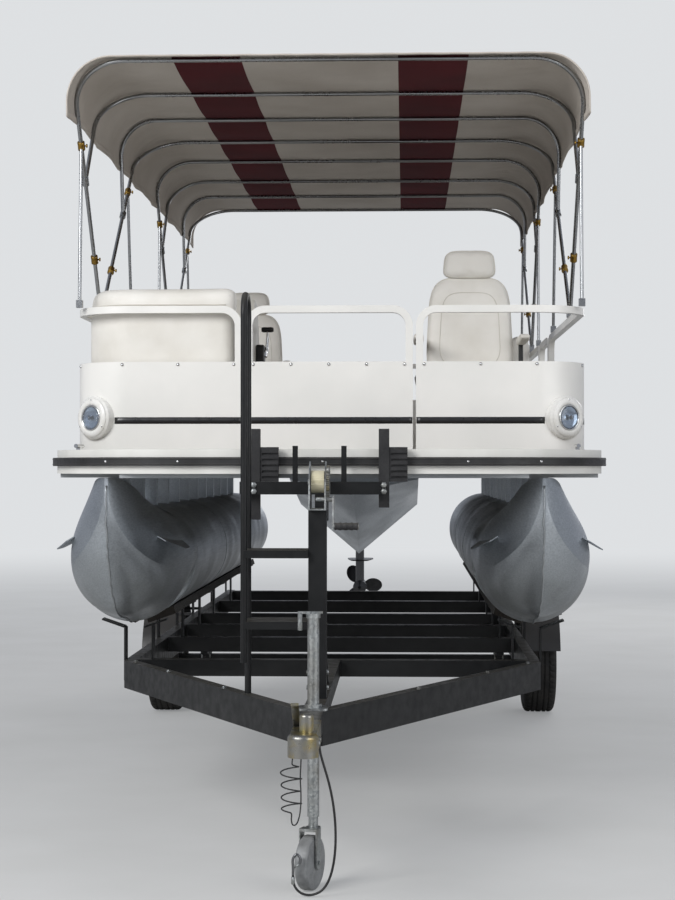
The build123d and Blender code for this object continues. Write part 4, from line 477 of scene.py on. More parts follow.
# Yellow-chromated zinc plate: gold with drifting green and pink, dirt in the hollows
yellowZinc, tree, shader, place = newMaterial("chromatedZincPlate", metallic=1.0)
drift = blendColours(tree, mottle(tree, place, 22.0), "#a8925c", "#9c9b78")
drift = blendColours(tree, mottle(tree, place, 14.0, 6.0, 0.40, 0.58), drift, "#93928d")
# The safety hook low on the drawbar has a plain zinc coat, dull with road dirt
height = addNode(tree, "SeparateXYZ", None, {"Vector": place}).outputs["Z"]
low = addNode(tree, "MapRange", {"From Min": 0.34, "From Max": 0.30}, {"Value": height})
drift = blendColours(tree, low.outputs["Result"], drift, "#77787a")
coloured(tree, shader, drift)
rougher(tree, shader, mottle(tree, place, 50.0), 0.25, 0.45)

# Black enamel of the trailer: semi-gloss over welded steel, dulled by road dust
trailerPaint = painted("blackEnamel", ("#0f1011", "#1a1b1c"), (0.32, 0.52), scale=4.0, peel=260.0,
                       peelDepth=0.0003, coat=0.03, dust=("#6e6a62", 0.3), specular=0.3)
# The same enamel on the pressed fenders, glossier and with more dust on top
fenderPaint = painted("blackFenderEnamel", ("#141416", "#222224"), (0.28, 0.48), scale=5.0,
                      dust=("#77726a", 0.35))
# Baked enamel on the outboard's castings, and clear lacquer over the moulded cowl
motorPaint = painted("outboardEnamel", ("#1c1d20", "#26272b"), (0.25, 0.4), scale=7.0, peel=500.0, coat=0.3)
cowlPaint = painted("cowlLacquer", ("#15161a", "#1d1e23"), (0.14, 0.24), scale=3.0, peel=350.0,
                    peelDepth=0.00006, coat=0.7)
# Enamel on the cast propeller, worn thin to a grey at the blades
propellerPaint = painted("propellerEnamel", ("#1b1b1d", "#3b3b3d"), (0.28, 0.45), scale=30.0, coat=0.2)
# Moulded polyamide: black with the mould's fine spark-eroded grain
blackPlastic = painted("mouldedPolyamide", ("#161617", "#232324"), (0.4, 0.6), scale=30.0, peel=900.0,
                       peelDepth=0.0004)
# Extruded vinyl of the rub rail, scuffed grey, and moulded rubber of the stops, matt and dusty
rubRailVinyl = painted("extrudedVinyl", ("#161617", "#2c2c2d"), (0.4, 0.62), scale=12.0,
                       dust=("#8b877e", 0.35))
stopRubber = painted("mouldedRubber", ("#18181a", "#2a2a2b"), (0.6, 0.8), scale=18.0, dust=("#6b665e", 0.3))
# Moulded nylon of the jack's wheel, dirty where it rolls
wheelGrey = painted("mouldedGreyNylon", ("#8f9192", "#6f7172"), (0.4, 0.6), scale=25.0, peel=600.0,
                    dust=("#5e5a52", 0.3))
# Cast vinyl film of the fence's stripe: even black with a low gloss
stripeVinyl = painted("stripeVinyl", ("#141415", "#1e1e20"), (0.25, 0.4), scale=8.0, coat=0.2)

# Tyre rubber: matt black with a brown-grey bloom on the sidewall and dust in the grooves
tyreRubber, tree, shader, place = newMaterial("vulcanisedRubber", 0.8)
bloom = blendColours(tree, mottle(tree, place, 11.0, 6.0), "#1a1a1a", "#2c2a27")
coloured(tree, shader, bloom)
grit = addNode(tree, "TexNoise", {"Scale": 380.0, "Detail": 5.0}, {"Vector": place})
raised(tree, shader, grit.outputs["Fac"], 0.0006, 0.5)
rougher(tree, shader, mottle(tree, place, 40.0), 0.68, 0.88)


# Lamp lenses: moulded acrylic with a prism pattern of about 5 mm inside; its colour runs from dark to bright
# red across each prism, painted glints where the lens lights up in points
def lampAcrylic(name, roughness, prismScale, colours):
    material, tree, shader, place = newMaterial(name, roughness, extra={"Coat Weight": 0.6})
    prismsAndGlints = addNode(tree, "TexVoronoi", {"Scale": prismScale, "distance": "CHEBYCHEV"},
                     {"Vector": place})
    # the colour turns bright towards each prism's edge: painted glints, while the same pattern gives the
    # prisms' bumps
    coloured(tree, shader, blendColours(tree, prismsAndGlints.outputs["Distance"], *colours))
    raised(tree, shader, prismsAndGlints.outputs["Distance"], 0.0012, 0.6)
    return material


lampRed = lampAcrylic("redAcrylic", 0.12, 200.0, ("#6e0808", "#b51616"))
lampAmber = lampAcrylic("amberAcrylic", 0.15, 220.0, ("#8a3d04", "#cf7412"))

# Polyester webbing of the winch strap: ribs 2 mm apart across a flat cream band
webbing, tree, shader, place = newMaterial("polyesterWebbing", 0.8, extra={"Sheen Weight": 0.2})
ribs = addNode(tree, "TexWave", {"Scale": 120.0, "Distortion": 1.5, "bands_direction": "Y"},
               {"Vector": place})
yarn = blendColours(tree, ribs.outputs["Fac"], "#b9b193", "#e2dbc0")
coloured(tree, shader, blendColours(tree, mottle(tree, place, 30.0), yarn, "#cdc5a6"))
raised(tree, shader, ribs.outputs["Fac"], 0.0008, 0.8)
# Cable jackets: extruded black vinyl, slightly greasy
cableJacket = painted("cableJacket", ("#101011", "#242425"), (0.35, 0.6), scale=45.0, peel=900.0)


# Woven acrylic canvas: warp and weft drawn at 4 mm, cream cloth with two burgundy stripes
canopyFacts = {
    "stripes": ((-0.69, -0.385), (0.31, 0.62)),   # the two dark stripes, metres across the boat
    "pale": ("#cfc8bf", "#bdb5ab"),
    "dark": ("#590c18", "#460812"),
    "threads": 250.0,                              # per metre, coarser than real so that it shows
}


def wovenAcrylic(name, striped):
    material, tree, shader, place = newMaterial(name, 0.9, extra={"Sheen Weight": 0.02,
                                                                  "Specular IOR Level": 0.15})
    axes = addNode(tree, "SeparateXYZ", None, {"Vector": place})
    bands = []
    for axis in ("X", "Y"):
        turn = addNode(tree, "Math", {"operation": "MULTIPLY", 1: canopyFacts["threads"] * math.pi},
                       {0: axes.outputs[axis]})
        bands.append(addNode(tree, "Math", {"operation": "SINE"}, {0: turn.outputs[0]}).outputs[0])
    weave = addNode(tree, "Math", {"operation": "MULTIPLY"}, {0: bands[0], 1: bands[1]}).outputs[0]
    level = addNode(tree, "MapRange", {"From Min": -1.0}, {"Value": weave}).outputs["Result"]
    patches = mottle(tree, place, 2.6, 6.0)
    colour = blendColours(tree, patches, *canopyFacts["pale"])
    if striped:
        dark = blendColours(tree, patches, *canopyFacts["dark"])
        inside = None
        for low, high in canopyFacts["stripes"]:
            middle, half = (low + high) / 2, (high - low) / 2
            near = addNode(tree, "Math", {"operation": "COMPARE", 1: middle, 2: half},
                           {0: axes.outputs["X"]}).outputs[0]
            if inside is not None:
                near = addNode(tree, "Math", {"operation": "ADD"}, {0: inside, 1: near}).outputs[0]
            inside = near
        colour = blendColours(tree, inside, colour, dark)
    darker = addNode(tree, "MapRange", {"To Max": 0.22}, {"Value": level})
    coloured(tree, shader, blendColours(tree, darker.outputs["Result"], colour, "#3d332f"))
    raised(tree, shader, level, 0.0008, 0.6)
    return material


canvasCloth = wovenAcrylic("wovenAcrylic", True)
bindingCloth = wovenAcrylic("wovenBinding", False)
print("materials made")

finishes = {
    "hull": hullMetal, "frame_aluminium": frameMetal, "decking": carpet, "edge_trim": trimWhite,
    "rub_rail": rubRailVinyl, "fence": panelWhite, "shell": shellPlastic, "upholstery": vinyl,
    "black_plastic": blackPlastic, "bow_tube": tubeMetal, "canopy": canvasCloth, "light": lightPlastic,
    "bright_metal": chrome, "motor_paint": motorPaint, "motor_cowl": cowlPaint, "propeller": propellerPaint,
    "trailer_paint": trailerPaint, "bunk_carpet": bunkFelt, "tyre": tyreRubber, "rim": rimMetal,
    "fender": fenderPaint, "tail_light": lampRed, "rubber": stopRubber, "galvanised": galvanised,
    "zinc": yellowZinc, "webbing": webbing, "cable": cableJacket, "wheel_grey": wheelGrey,
}
for row in frame["record"]["subparts"]:
    mesh = nodes[row["node"]].data
    mesh.materials.clear()
    mesh.materials.append(finishes[row["material_slot"]])
print("CAD nodes dressed")


# Floor and light

studio = {
    "sky": (0.86, 0.9, 1.0, 1.0),
    "skyStrength": 0.42,
    "backdrop": (0.86, 0.88, 0.9, 1.0),   # what the camera sees behind the boat
    "keyPower": 820.0,
    "fillPower": 260.0,
    "rearPower": 260.0,
    "floorSize": 120.0,
    "fadeStart": 5.0,     # where the floor starts to turn into the backdrop, metres from the boat's middle
    "fadeEnd": 26.0,
    "backdropStrength": 0.85,
}
bpy.ops.mesh.primitive_plane_add(size=studio["floorSize"], location=(0, 0, 0))
floor = bpy.context.object
floor.name = "floor"
# Sealed concrete: pale, with faint clouds
floorPaint, tree, shader, place = newMaterial("paleConcrete", 0.85)
coloured(tree, shader, blendColours(tree, mottle(tree, place, 1.2, 8.0), "#cfcecb", "#c4c3bf"))
# Far from the boat the floor turns into the background, only where the camera sees it
away = addNode(tree, "VectorMath", {"operation": "LENGTH"}, {0: place}).outputs["Value"]
fade = addNode(tree, "MapRange",
               {"interpolation_type": "SMOOTHSTEP", "From Min": studio["fadeStart"],
                "From Max": studio["fadeEnd"], "To Min": 0.3}, {"Value": away}).outputs["Result"]
rays = addNode(tree, "LightPath").outputs["Is Camera Ray"]
share = addNode(tree, "Math", {"operation": "MULTIPLY"}, {0: rays, 1: fade}).outputs[0]
seenColour = {"Color": studio["backdrop"], "Strength": studio["backdropStrength"]}
lift = addNode(tree, "Emission", seenColour).outputs[0]
shown = addNode(tree, "MixShader", None, {0: share, 1: shader.outputs[0], 2: lift})
tree.links.new(shown.outputs[0], tree.nodes["Material Output"].inputs["Surface"])
floor.data.materials.append(floorPaint)

world = bpy.data.worlds.new("studio")
bpy.context.scene.world = world
world.use_nodes = True
tree = world.node_tree
background = tree.nodes["Background"]
background.inputs["Color"].default_value = studio["sky"]
background.inputs["Strength"].default_value = studio["skyStrength"]
seen = addNode(tree, "Background", seenColour)
rays = addNode(tree, "LightPath").outputs["Is Camera Ray"]
mixed = addNode(tree, "MixShader", None, {0: rays, 1: background.outputs[0], 2: seen.outputs[0]})
tree.links.new(mixed.outputs[0], tree.nodes["World Output"].inputs["Surface"])


def areaLight(name, place, aim, size, power):
    # a square soft light that points at the aim
    data = bpy.data.lights.new(name, "AREA")
    data.size = size
    data.energy = power
    light = bpy.data.objects.new(name, data)
    bpy.context.scene.collection.objects.link(light)
    light.location = place
    direction = np.array(aim) - np.array(place)
    length = np.linalg.norm(direction)
    tilt = math.acos(-direction[2] / length)
    light.rotation_euler = (tilt, 0, math.atan2(direction[0], -direction[1]) + math.pi)


areaLight("keyLight", (-6.0, -9.5, 6.5), (0, 0, 1.6), 5.0, studio["keyPower"])
areaLight("fillLight", (7.0, -8.0, 4.0), (0, 0, 1.6), 6.0, studio["fillPower"])
areaLight("rearLight", (4.0, 10.0, 6.0), (0, 0, 1.4), 6.0, studio["rearPower"])


# Cords

def routeSpline(name, points, diameter):
    # the cable's centreline as one smooth open spline through its route's control points
    curve = bpy.data.curves.new(name, "CURVE")
    curve.dimensions = "3D"
    spline = curve.splines.new("NURBS")
    spline.points.add(len(points) - 1)
    weights = np.ones((len(points), 4))
    weights[:, :3] = points
    spline.points.foreach_set("co", weights.ravel())
    spline.order_u = 3
    spline.use_endpoint_u = True
    spline.resolution_u = 8
    curve.bevel_depth = diameter / 2
    curve.bevel_resolution = 4
    curve.use_fill_caps = True
    cable = bpy.data.objects.new(name, curve)
    bpy.context.scene.collection.objects.link(cable)
    return cable


def splineLine(cable, resolution=12):
    # points along a cable's spline, read from a copy without its thickness
    copy = cable.copy()
    copy.data = cable.data.copy()
    copy.data.bevel_depth = 0.0
    copy.data.resolution_u = resolution
    bpy.context.scene.collection.objects.link(copy)
    line = bpy.data.meshes.new_from_object(copy.evaluated_get(bpy.context.evaluated_depsgraph_get()))
    coords = coordsOf(line)
    bpy.data.objects.remove(copy)
    bpy.data.meshes.remove(line)
    return coords


def lengthOf(line):
    return float(np.linalg.norm(np.diff(line, axis=0), axis=1).sum())


safety = {
    "diameter": 0.009,
    "y": aft(-0.938),
    "leave": 0.584,      # underside of the tongue
    # the crimp where the cable's eye closes: heights from the hook's start, radii
    "crimp": ((-0.034, 0.0056), (-0.032, 0.0068), (-0.008, 0.0068), (-0.006, 0.0056)),
    # the spring gate of the hook: across and up from the hook's start, radius
    "gate": ((0.0245, 0.043, 0.0032), (0.016, 0.034, 0.003), (0.004, 0.026, 0.003)),
}
y = safety["y"]
hookStart = (-0.066, y - 0.004, 0.079)
safetyRoute = [
    (0.028, y, safety["leave"]),
    (0.028, y, 0.536),
    (0.044, y - 0.002, 0.480),
    (0.062, y - 0.004, 0.422),
    (0.076, y - 0.006, 0.362),
    (0.085, y - 0.008, 0.300),
    (0.089, y - 0.009, 0.238),
    (0.088, y - 0.008, 0.176),
    (0.081, y - 0.007, 0.116),
    (0.066, y - 0.006, 0.062),
    (0.042, y - 0.006, 0.024),
    (0.008, y - 0.008, 0.008),
    (-0.025, y - 0.007, 0.008),
    (-0.051, y - 0.005, 0.023),
    (hookStart[0], hookStart[1], hookStart[2] - 0.030),
    hookStart,
]
safetyCable = routeSpline("safetyCable", safetyRoute, safety["diameter"])
finishPiece(safetyCable, root, "cable", cableJacket, ("safety_cable",))
safetyLine = splineLine(safetyCable)
print("safety cable", round(lengthOf(safetyLine), 3), "m")

# The curly breakaway cable: a lead from the tongue, loose turns, and a tail that goes back up
curly = {
    "diameter": 0.005,
    "x": -0.060,
    "y": aft(-1.150),
    "top": 0.520,
    "bottom": 0.335,
    "coilRadius": 0.0385,    # to the middle of the cable
    "turns": 4,
    "pointsPerTurn": 14,
}
x, y = curly["x"], curly["y"]
lead = [
    (x + 0.024, y, safety["leave"]),
    (x + 0.024, y, curly["top"] + 0.042),
    (x + 0.006, y, curly["top"] + 0.022),
]
count = curly["turns"] * curly["pointsPerTurn"]
share = np.linspace(0, 1, count)
angle = 2 * math.pi * curly["turns"] * share
loose = curly["coilRadius"] - 0.004 * (0.5 + 0.5 * np.cos(angle * 0.37 + 1.0))   # turns differ in size
fade = np.clip(np.minimum(share, 1 - share) * 12, 0.25, 1.0)
coil = np.stack([x + loose * fade * np.sin(angle + 0.3), y - loose * fade * np.cos(angle + 0.3),
                 curly["top"] - 0.006 - (curly["top"] - curly["bottom"] - 0.012) * share], axis=1)
tail = [
    (x, y, curly["bottom"] - 0.020),
    (x + 0.004, y + 0.020, curly["bottom"] - 0.042),
    (x + 0.018, y + 0.055, curly["bottom"] - 0.044),
    (x + 0.028, y + 0.086, curly["bottom"] - 0.006),
    (x + 0.030, y + 0.092, curly["bottom"] + 0.056),
    (x + 0.026, y + 0.090, curly["bottom"] + 0.116),
    (x + 0.030, y + 0.092, curly["bottom"] + 0.176),
    (x + 0.030, y + 0.092, safety["leave"]),
]
breakawayCable = routeSpline("breakawayCable", lead + coil.tolist() + tail, curly["diameter"])
finishPiece(breakawayCable, root, "cable", cableJacket, ("breakaway_cable",))
breakawayLine = splineLine(breakawayCable)
print("breakaway cable", round(lengthOf(breakawayLine), 3), "m")


def strainRelief(name, line, length, thin, thick):
    # a tapered rubber sleeve round the first stretch of a cable
    path = pointsAt(line, reachAlong(line), np.linspace(0, length, 14))
    taper = np.linspace(thick, thin, 14) + 0.0006 * np.cos(np.arange(14) * math.pi)
    return tubeAlong(name, path, taper, 20)


reliefs = [
    strainRelief("safetyRelief", safetyLine, 0.035, 0.0058, 0.0095),
    strainRelief("breakawayRelief", breakawayLine, 0.026, 0.0036, 0.0065),
    strainRelief("breakawayReturnRelief", breakawayLine[::-1], 0.026, 0.0036, 0.0065),
]
for piece in reliefs:
    finishPiece(piece, root, "cable", stopRubber)
# A crimped ferrule where the safety cable's eye closes on its hook
heights, radii = np.array(safety["crimp"]).T
crimp = tubeAlong("hookFerrule", safetyLine[-1] + heights[:, None] * np.array([0, 0, 1]), radii, 20)
finishPiece(crimp, root, "zinc", galvanised)
x, y, z = hookStart
gate = np.array(safety["gate"])
gateBar = tubeAlong("hookGate", [(x + across, y, z + up) for across, up in gate[:, :2]], gate[:, 2], 12)
finishPiece(gateBar, root, "zinc", galvanised)
print("cords made")


# Canopy

canopy = {
    "halfWidth": 1.1495,
    "top": 3.3692,
    "hem": 3.1005,
    "corner": 0.1995,
    "front": 0.4205,        # distances behind the deck's front edge
    "rear": 5.2715,
    "thickness": 0.0012,
    "firstBow": 0.470,
    "setPitch": 2.7001,
    "bowShares": (0.0, 0.28, 0.52, 0.76),
    "sag": 0.011,           # between two bows
    "pinch": 0.0035,        # small folds that run out from the bows
    "acrossPoints": 150,
    "alongPoints": 210,
}
drop = canopy["top"] - canopy["corner"] - canopy["hem"]
bend = canopy["corner"] * math.pi / 2
flat = 2 * (canopy["halfWidth"] - canopy["corner"])
clothWidth = 2 * drop + 2 * bend + flat
bowYs = np.array([aft(canopy["firstBow"] + (number + share) * canopy["setPitch"])
                  for number in range(2) for share in canopy["bowShares"]])


def archPoint(s, inset):
    # the point and outward direction at distance s along the arch, from the starboard hem
    half, top, radius = canopy["halfWidth"], canopy["top"], canopy["corner"]
    fromMiddle = np.abs(s - clothWidth / 2)
    side = np.sign(s - clothWidth / 2)
    angle = np.clip((fromMiddle - flat / 2) / radius, 0, math.pi / 2)
    below = np.maximum(fromMiddle - flat / 2 - bend, 0)
    outX, outZ = side * np.sin(angle), np.cos(angle)
    x = side * np.minimum(fromMiddle, flat / 2) + (radius - inset) * outX
    z = top - radius + (radius - inset) * outZ - below
    return x, z, outX, outZ


def canopySurface():
    # position = arch point moved in by sag x (1 - closeness to the nearest bow), by folds that
    # start at the bows and the corners, and by the slack of the free hems
    s = np.linspace(0, clothWidth, canopy["acrossPoints"])
    v = np.linspace(aft(canopy["front"]), aft(canopy["rear"]), canopy["alongPoints"])
    s, v = np.meshgrid(s, v)
    later = np.searchsorted(bowYs, v).clip(1, len(bowYs) - 1)
    low, high = bowYs[later - 1], bowYs[later]
    between = np.clip((v - low) / (high - low), 0, 1)
    slack = np.sin(math.pi * between)
    onTop = np.clip(1 - np.abs(s - clothWidth / 2) / (flat / 2 + bend), 0, 1)
    tent = np.maximum(slack, 0) * (0.35 + 0.65 * np.minimum(onTop * 6, 1))
    folds = np.sin(s * 41.0 + 2.2 * np.sin(v * 2.3)) * np.exp(-6 * between * (1 - between) * 2)
    folds += 0.8 * np.sin(s * 23.0 - v * 9.0 + 1.3) * np.exp(-((s - clothWidth / 2) / 0.9) ** 2) * slack
    folds += 0.9 * np.sin((s + v) * 17.0) * np.exp(-onTop * 5.0)
    diagonal = np.sin((np.abs(s - clothWidth / 2) * 1.3 - np.abs(v - (low + high) / 2) * 2.2) * 26.0)
    folds += 0.9 * diagonal * np.exp(-((onTop - 0.2) / 0.16) ** 2)
    inset = 0.0016 + canopy["sag"] * tent
    inset += canopy["pinch"] * (1 + folds) * 0.5 * np.minimum(slack * 3 + 0.25, 1)
    hem = np.clip((np.abs(s - clothWidth / 2) - (flat / 2 + bend)) / drop, 0, 1)
    inset += 0.003 * hem * slack * (1 + np.sin(v * 13.0)) * 0.5
    x, z, outX, outZ = archPoint(s, inset)
    lift = 0.010 * hem * slack   # the hem pulls up a little between the bows
    return np.stack([x, v, z + lift], axis=-1)


points = canopySurface()
# rows run aft and columns to port, so this order gives faces that look up
canopySheet = meshFrom("canopySheet", points, gridFaces(*points.shape[:2])[:, ::-1])
solid = canopySheet.modifiers.new("cloth", "SOLIDIFY")
solid.thickness = canopy["thickness"]
solid.offset = -1.0
finishPiece(canopySheet, root, "canopy", canvasCloth, ("bimini_canopy",))


def bindingStrip(name, band):
    # a ring of points carried along the cloth's cut edge, with flat ends
    rows, count = band.shape[:2]
    ends = [list(range(count)), [rows * count - 1 - i for i in range(count)]]
    piece = outward(meshFrom(name, band, gridFaces(rows, count, wrapColumns=True).tolist() + ends))
    return finishPiece(piece, root, "canopy", bindingCloth)


bindings = {
    # rings round the cut edge: (inward, outward) at the front and rear, (outward, up) at the hems
    "ends": [(0.0, 0.0021), (0.022, 0.0018), (0.024, 0.0), (0.022, -0.0034), (0.0, -0.0044),
             (-0.0006, -0.001)],
    "hems": [(0.0018, 0.0), (0.0018, 0.030), (0.0, 0.032), (-0.0032, 0.030), (-0.0036, 0.0),
             (-0.001, -0.0004)],
}
for name, row in (("frontBinding", points[0]), ("rearBinding", points[-1])):
    inward = 1 if name == "frontBinding" else -1
    outX, outZ = archPoint(np.linspace(0, clothWidth, canopy["acrossPoints"]), 0)[2:]
    normal = np.stack([outX, np.zeros_like(outX), outZ], axis=1)
    along = np.array([0.0, inward, 0.0])
    band = np.stack([row + a * along + n * normal for a, n in bindings["ends"]], axis=1)
    bindingStrip(name, band)
for name, row, side in (("starboardHem", points[:, 0], -1), ("portHem", points[:, -1], 1)):
    band = np.stack([row + np.array([side * n, 0.0, z]) for n, z in bindings["hems"]], axis=1)
    bindingStrip(name, band)


# Cushions

filling = {
    "pressure": 4.0,
    "frames": 20,
    "stiffness": 25,         # against stretching and squeezing
    "bending": 1.0,
}


def puff(piece, cap, voxel):
    # swells a closed pad as filled cloth: even quads, pressure for some frames, no point moves past cap
    scene = bpy.context.scene
    remesh = piece.modifiers.new("evenQuads", "REMESH")
    remesh.mode = "VOXEL"
    remesh.voxel_size = voxel
    graph = bpy.context.evaluated_depsgraph_get()
    even = bpy.data.meshes.new_from_object(piece.evaluated_get(graph))
    piece.modifiers.clear()
    materials = list(piece.data.materials)
    piece.data = even
    start = coordsOf(even)
    cloth = piece.modifiers.new("filledCloth", "CLOTH")
    cloth.settings.use_pressure = True
    cloth.settings.uniform_pressure_force = filling["pressure"]
    cloth.settings.quality = 4
    cloth.settings.effector_weights.gravity = 0.0
    cloth.settings.tension_stiffness = cloth.settings.compression_stiffness = filling["stiffness"]
    cloth.settings.bending_stiffness = filling["bending"]
    cloth.point_cache.frame_start = 1
    cloth.point_cache.frame_end = filling["frames"]
    for step in range(1, filling["frames"] + 1):
        scene.frame_set(step)
    graph = bpy.context.evaluated_depsgraph_get()
    shift = coordsOf(piece.evaluated_get(graph).data) - start
    piece.modifiers.clear()
    scene.frame_set(1)
    far = np.linalg.norm(shift, axis=1, keepdims=True)
    even.polygons.foreach_set("use_smooth", np.full(len(even.polygons), True))
    moveCoords(even, start + shift * np.minimum(1.0, cap / np.maximum(far, 1e-9)))
    for material in materials:
        if material.name not in even.materials:
            even.materials.append(material)
    finer = piece.modifiers.new("finer", "SUBSURF")
    finer.levels = finer.render_levels = 1


def keptInside(piece, low, high):
    # no point leaves the box that the cushion has
    moveCoords(piece.data, np.clip(coordsOf(piece.data), low, high))


def pad(name, outline, origin, across, up, front, back, rings=22, square=9.0, roundness=2.2):
    # point = origin + share x outline, and on each side a height of thickness x
    # (1 - share^square)^(1/roundness): nearly flat in the middle, rounded at the rim
    outline = np.asarray(outline, dtype=float)
    across, up = np.asarray(across, dtype=float), np.asarray(up, dtype=float)
    through = np.cross(across, up)
    share = np.sin(np.linspace(0, 1, rings) * math.pi / 2)
    share[0] = 0.02
    height = (1 - share ** square).clip(0) ** (1 / roundness)
    crown = 1 - 0.10 * share ** 2
    flat = outline[:, :1] * across + outline[:, 1:] * up
    shares = np.concatenate([share, share[::-1][1:]])
    heights = np.concatenate([front * height * crown, -back * (height * crown)[::-1][1:]])
    points = np.asarray(origin) + shares[:, None, None] * flat + heights[:, None, None] * through
    count = len(outline)
    faces = gridFaces(len(shares), count, wrapColumns=True).tolist()
    faces += [list(range(count)), [(len(shares) - 1) * count + i for i in range(count)][::-1]]
    piece = outward(meshFrom(name, points, faces))
    seam = np.asarray(origin) + 0.985 * flat
    return piece, seam


def superOutline(halfWidth, halfHeight, power=5.0, taper=0.0, count=96):
    # a rounded four-sided outline whose width shrinks towards its top by the taper
    turn = fullTurn(count)
    c, s = np.cos(turn), np.sin(turn)
    x = np.sign(c) * np.abs(c) ** (2 / power)
    y = np.sign(s) * np.abs(s) ** (2 / power)
    return np.stack([halfWidth * x * (1 - taper * (y + 1) / 2), halfHeight * y], axis=1)


def sewn(name, line, piece, radius, body, closed=True):
    # piping: a cord of vinyl laid on the cushion's surface along the seam
    surface = BVHTree.FromObject(piece, bpy.context.evaluated_depsgraph_get())
    laid = np.array([surface.find_nearest(tuple(point))[0][:] for point in line])
    finishPiece(tubeAlong(name, laid, radius, 8, closed), body, "upholstery", vinylPiping)


cushionFacts = {
    "coverSwell": 0.006,     # how far the filling may push a seat's cover out
    "backSwell": 0.005,
    "voxel": 0.016,
    "corner": 0.055,
    "rim": 0.008,            # how much smaller each pad starts than its place
    "piping": 0.0038,
    "thinPiping": 0.0034,
    "seatLow": 1.9405,
    "seatHigh": 2.0503,
    "backHigh": 2.375,
    "backThick": 0.130,
    "seamDrop": 0.085,       # from the top of a back to its seams
    "topRound": 0.050,
    "lowRound": 0.020,
    "endRound": 0.055,
}
seatLow, seatHigh, backHigh = [cushionFacts[key] for key in ("seatLow", "seatHigh", "backHigh")]
rim, half = cushionFacts["rim"], cushionFacts["backThick"] / 2


def seatPad(name, xs, ys, standsFor):
    # a flat seat cushion with a crowned top, piped round its upper and its lower edge
    halfX, halfY, halfZ = (xs[1] - xs[0]) / 2, (ys[1] - ys[0]) / 2, (seatHigh - seatLow) / 2
    origin = (xs[0] + halfX, ys[0] + halfY, seatLow + halfZ)
    outline = roundedOutline(halfX - rim / 2, halfY - rim / 2, cushionFacts["corner"], 12)
    around = np.arctan2(outline[:, 1:] / halfY, outline[:, :1] / halfX)
    outline = outline * (1 - 0.012 * np.cos(2 * around) ** 2)
    closedLine = np.concatenate([outline, outline[:1]])
    reach = reachAlong(closedLine)
    outline = pointsAt(closedLine, reach, np.linspace(0, reach[-1], 120, endpoint=False))
    piece, seam = pad(name, outline, origin, (1, 0, 0), (0, 1, 0), halfZ - rim / 4, halfZ - rim / 2,
                      square=22.0, roundness=2.0)
    finishPiece(piece, root, "upholstery", vinyl, standsFor)
    puff(piece, cushionFacts["coverSwell"], cushionFacts["voxel"])
    keptInside(piece, (xs[0], ys[0], seatLow), (xs[1], ys[1], seatHigh + 0.004))
    for label, share in (("Piping", 0.62), ("LowerPiping", -0.7)):
        line = seam + np.array([0, 0, halfZ * share])
        sewn(name + label, line, piece, cushionFacts["piping"], root)


couch = {
    "outer": -1.108,         # starboard side, bow end, port end and stern end
    "front": -1.9175,
    "inner": -0.418,
    "end": -0.1675,
    "depth": 0.600,
    "gap": 0.003,            # between two cushions
    "bend": 0.218,           # outer radius of the back's corner
}
couchCushions = ("bow_couch_cushions",)
outer, front, end = couch["outer"], couch["front"], couch["end"]
fromBack = cushionFacts["backThick"] + couch["gap"]
seatPad("bowCouchFrontSeat", (outer + fromBack, couch["inner"]), (front + fromBack, front + couch["depth"]),
        couchCushions)
seatPad("bowCouchSideSeat", (outer + fromBack, outer + couch["depth"]),
        (front + couch["depth"] + 2 * couch["gap"], end), couchCushions)


def bolsterSection(half, low, high, topRound, lowRound):
    # the cut through a backrest: nearly straight faces, a full round top and a tighter bottom edge
    turn = np.linspace(0, math.pi, 17)
    middle = high - topRound
    top = np.stack([half * np.cos(turn), middle + topRound * np.sin(turn)], axis=1)
    swell = np.linspace(1, 0, 9)[1:-1]
    left = np.stack([-half * (1 + 0.035 * np.sin(math.pi * swell)),
                     low + lowRound + (middle - low - lowRound) * swell], axis=1)
    lower = np.linspace(math.pi, 1.5 * math.pi, 6)
    lowerLeft = np.stack([-half + lowRound + lowRound * np.cos(lower),
                          low + lowRound + lowRound * np.sin(lower)], axis=1)
    lowerRight = lowerLeft[::-1] * np.array([-1, 1])
    right = left[::-1] * np.array([-1, 1])
    return np.concatenate([top, left, lowerLeft, lowerRight, right])


def bolster(name, path, section, standsFor, limits):
    # the section carried along a level path of (x, y) points; over the last stretch at each
    # end it shrinks as a quarter circle does, so that the ends are rounded
    path = np.asarray(path, dtype=float)
    reach = reachAlong(path)
    total = reach[-1]
    endRound = cushionFacts["endRound"]
    ends = endRound * (1 - np.cos(np.linspace(0.12, 1, 9) * math.pi / 2))
    at = np.concatenate([ends, np.arange(endRound, total - endRound, 0.025)[1:], total - ends[::-1]])
    line = pointsAt(path, reach, at)
    near = np.minimum(at, total - at) / endRound
    shrink = np.sqrt(np.clip(1 - (1 - np.clip(near, 0, 1)) ** 2, 0, 1))
    along = np.gradient(line, axis=0)
    along /= np.linalg.norm(along, axis=1, keepdims=True)
    across = np.stack([along[:, 1], -along[:, 0]], axis=1)
    middle = (section[:, 1].min() + section[:, 1].max()) / 2
    narrow = section[None, :, 0] * (0.25 + 0.75 * shrink)[:, None]
    tall = middle + (section[None, :, 1] - middle) * (0.86 + 0.14 * shrink)[:, None]
    level = line[:, None, :] + narrow[:, :, None] * across[:, None, :]
    points = np.concatenate([level, tall[:, :, None]], axis=2)
    count = len(section)
    faces = gridFaces(len(line), count, wrapColumns=True).tolist()
    faces += [list(range(count)), [(len(line) - 1) * count + i for i in range(count)]]
    piece = outward(meshFrom(name, points, faces))
    finishPiece(piece, root, "upholstery", vinyl, standsFor)
    puff(piece, cushionFacts["backSwell"], cushionFacts["voxel"])
    keptInside(piece, *limits)
    return piece, line, across


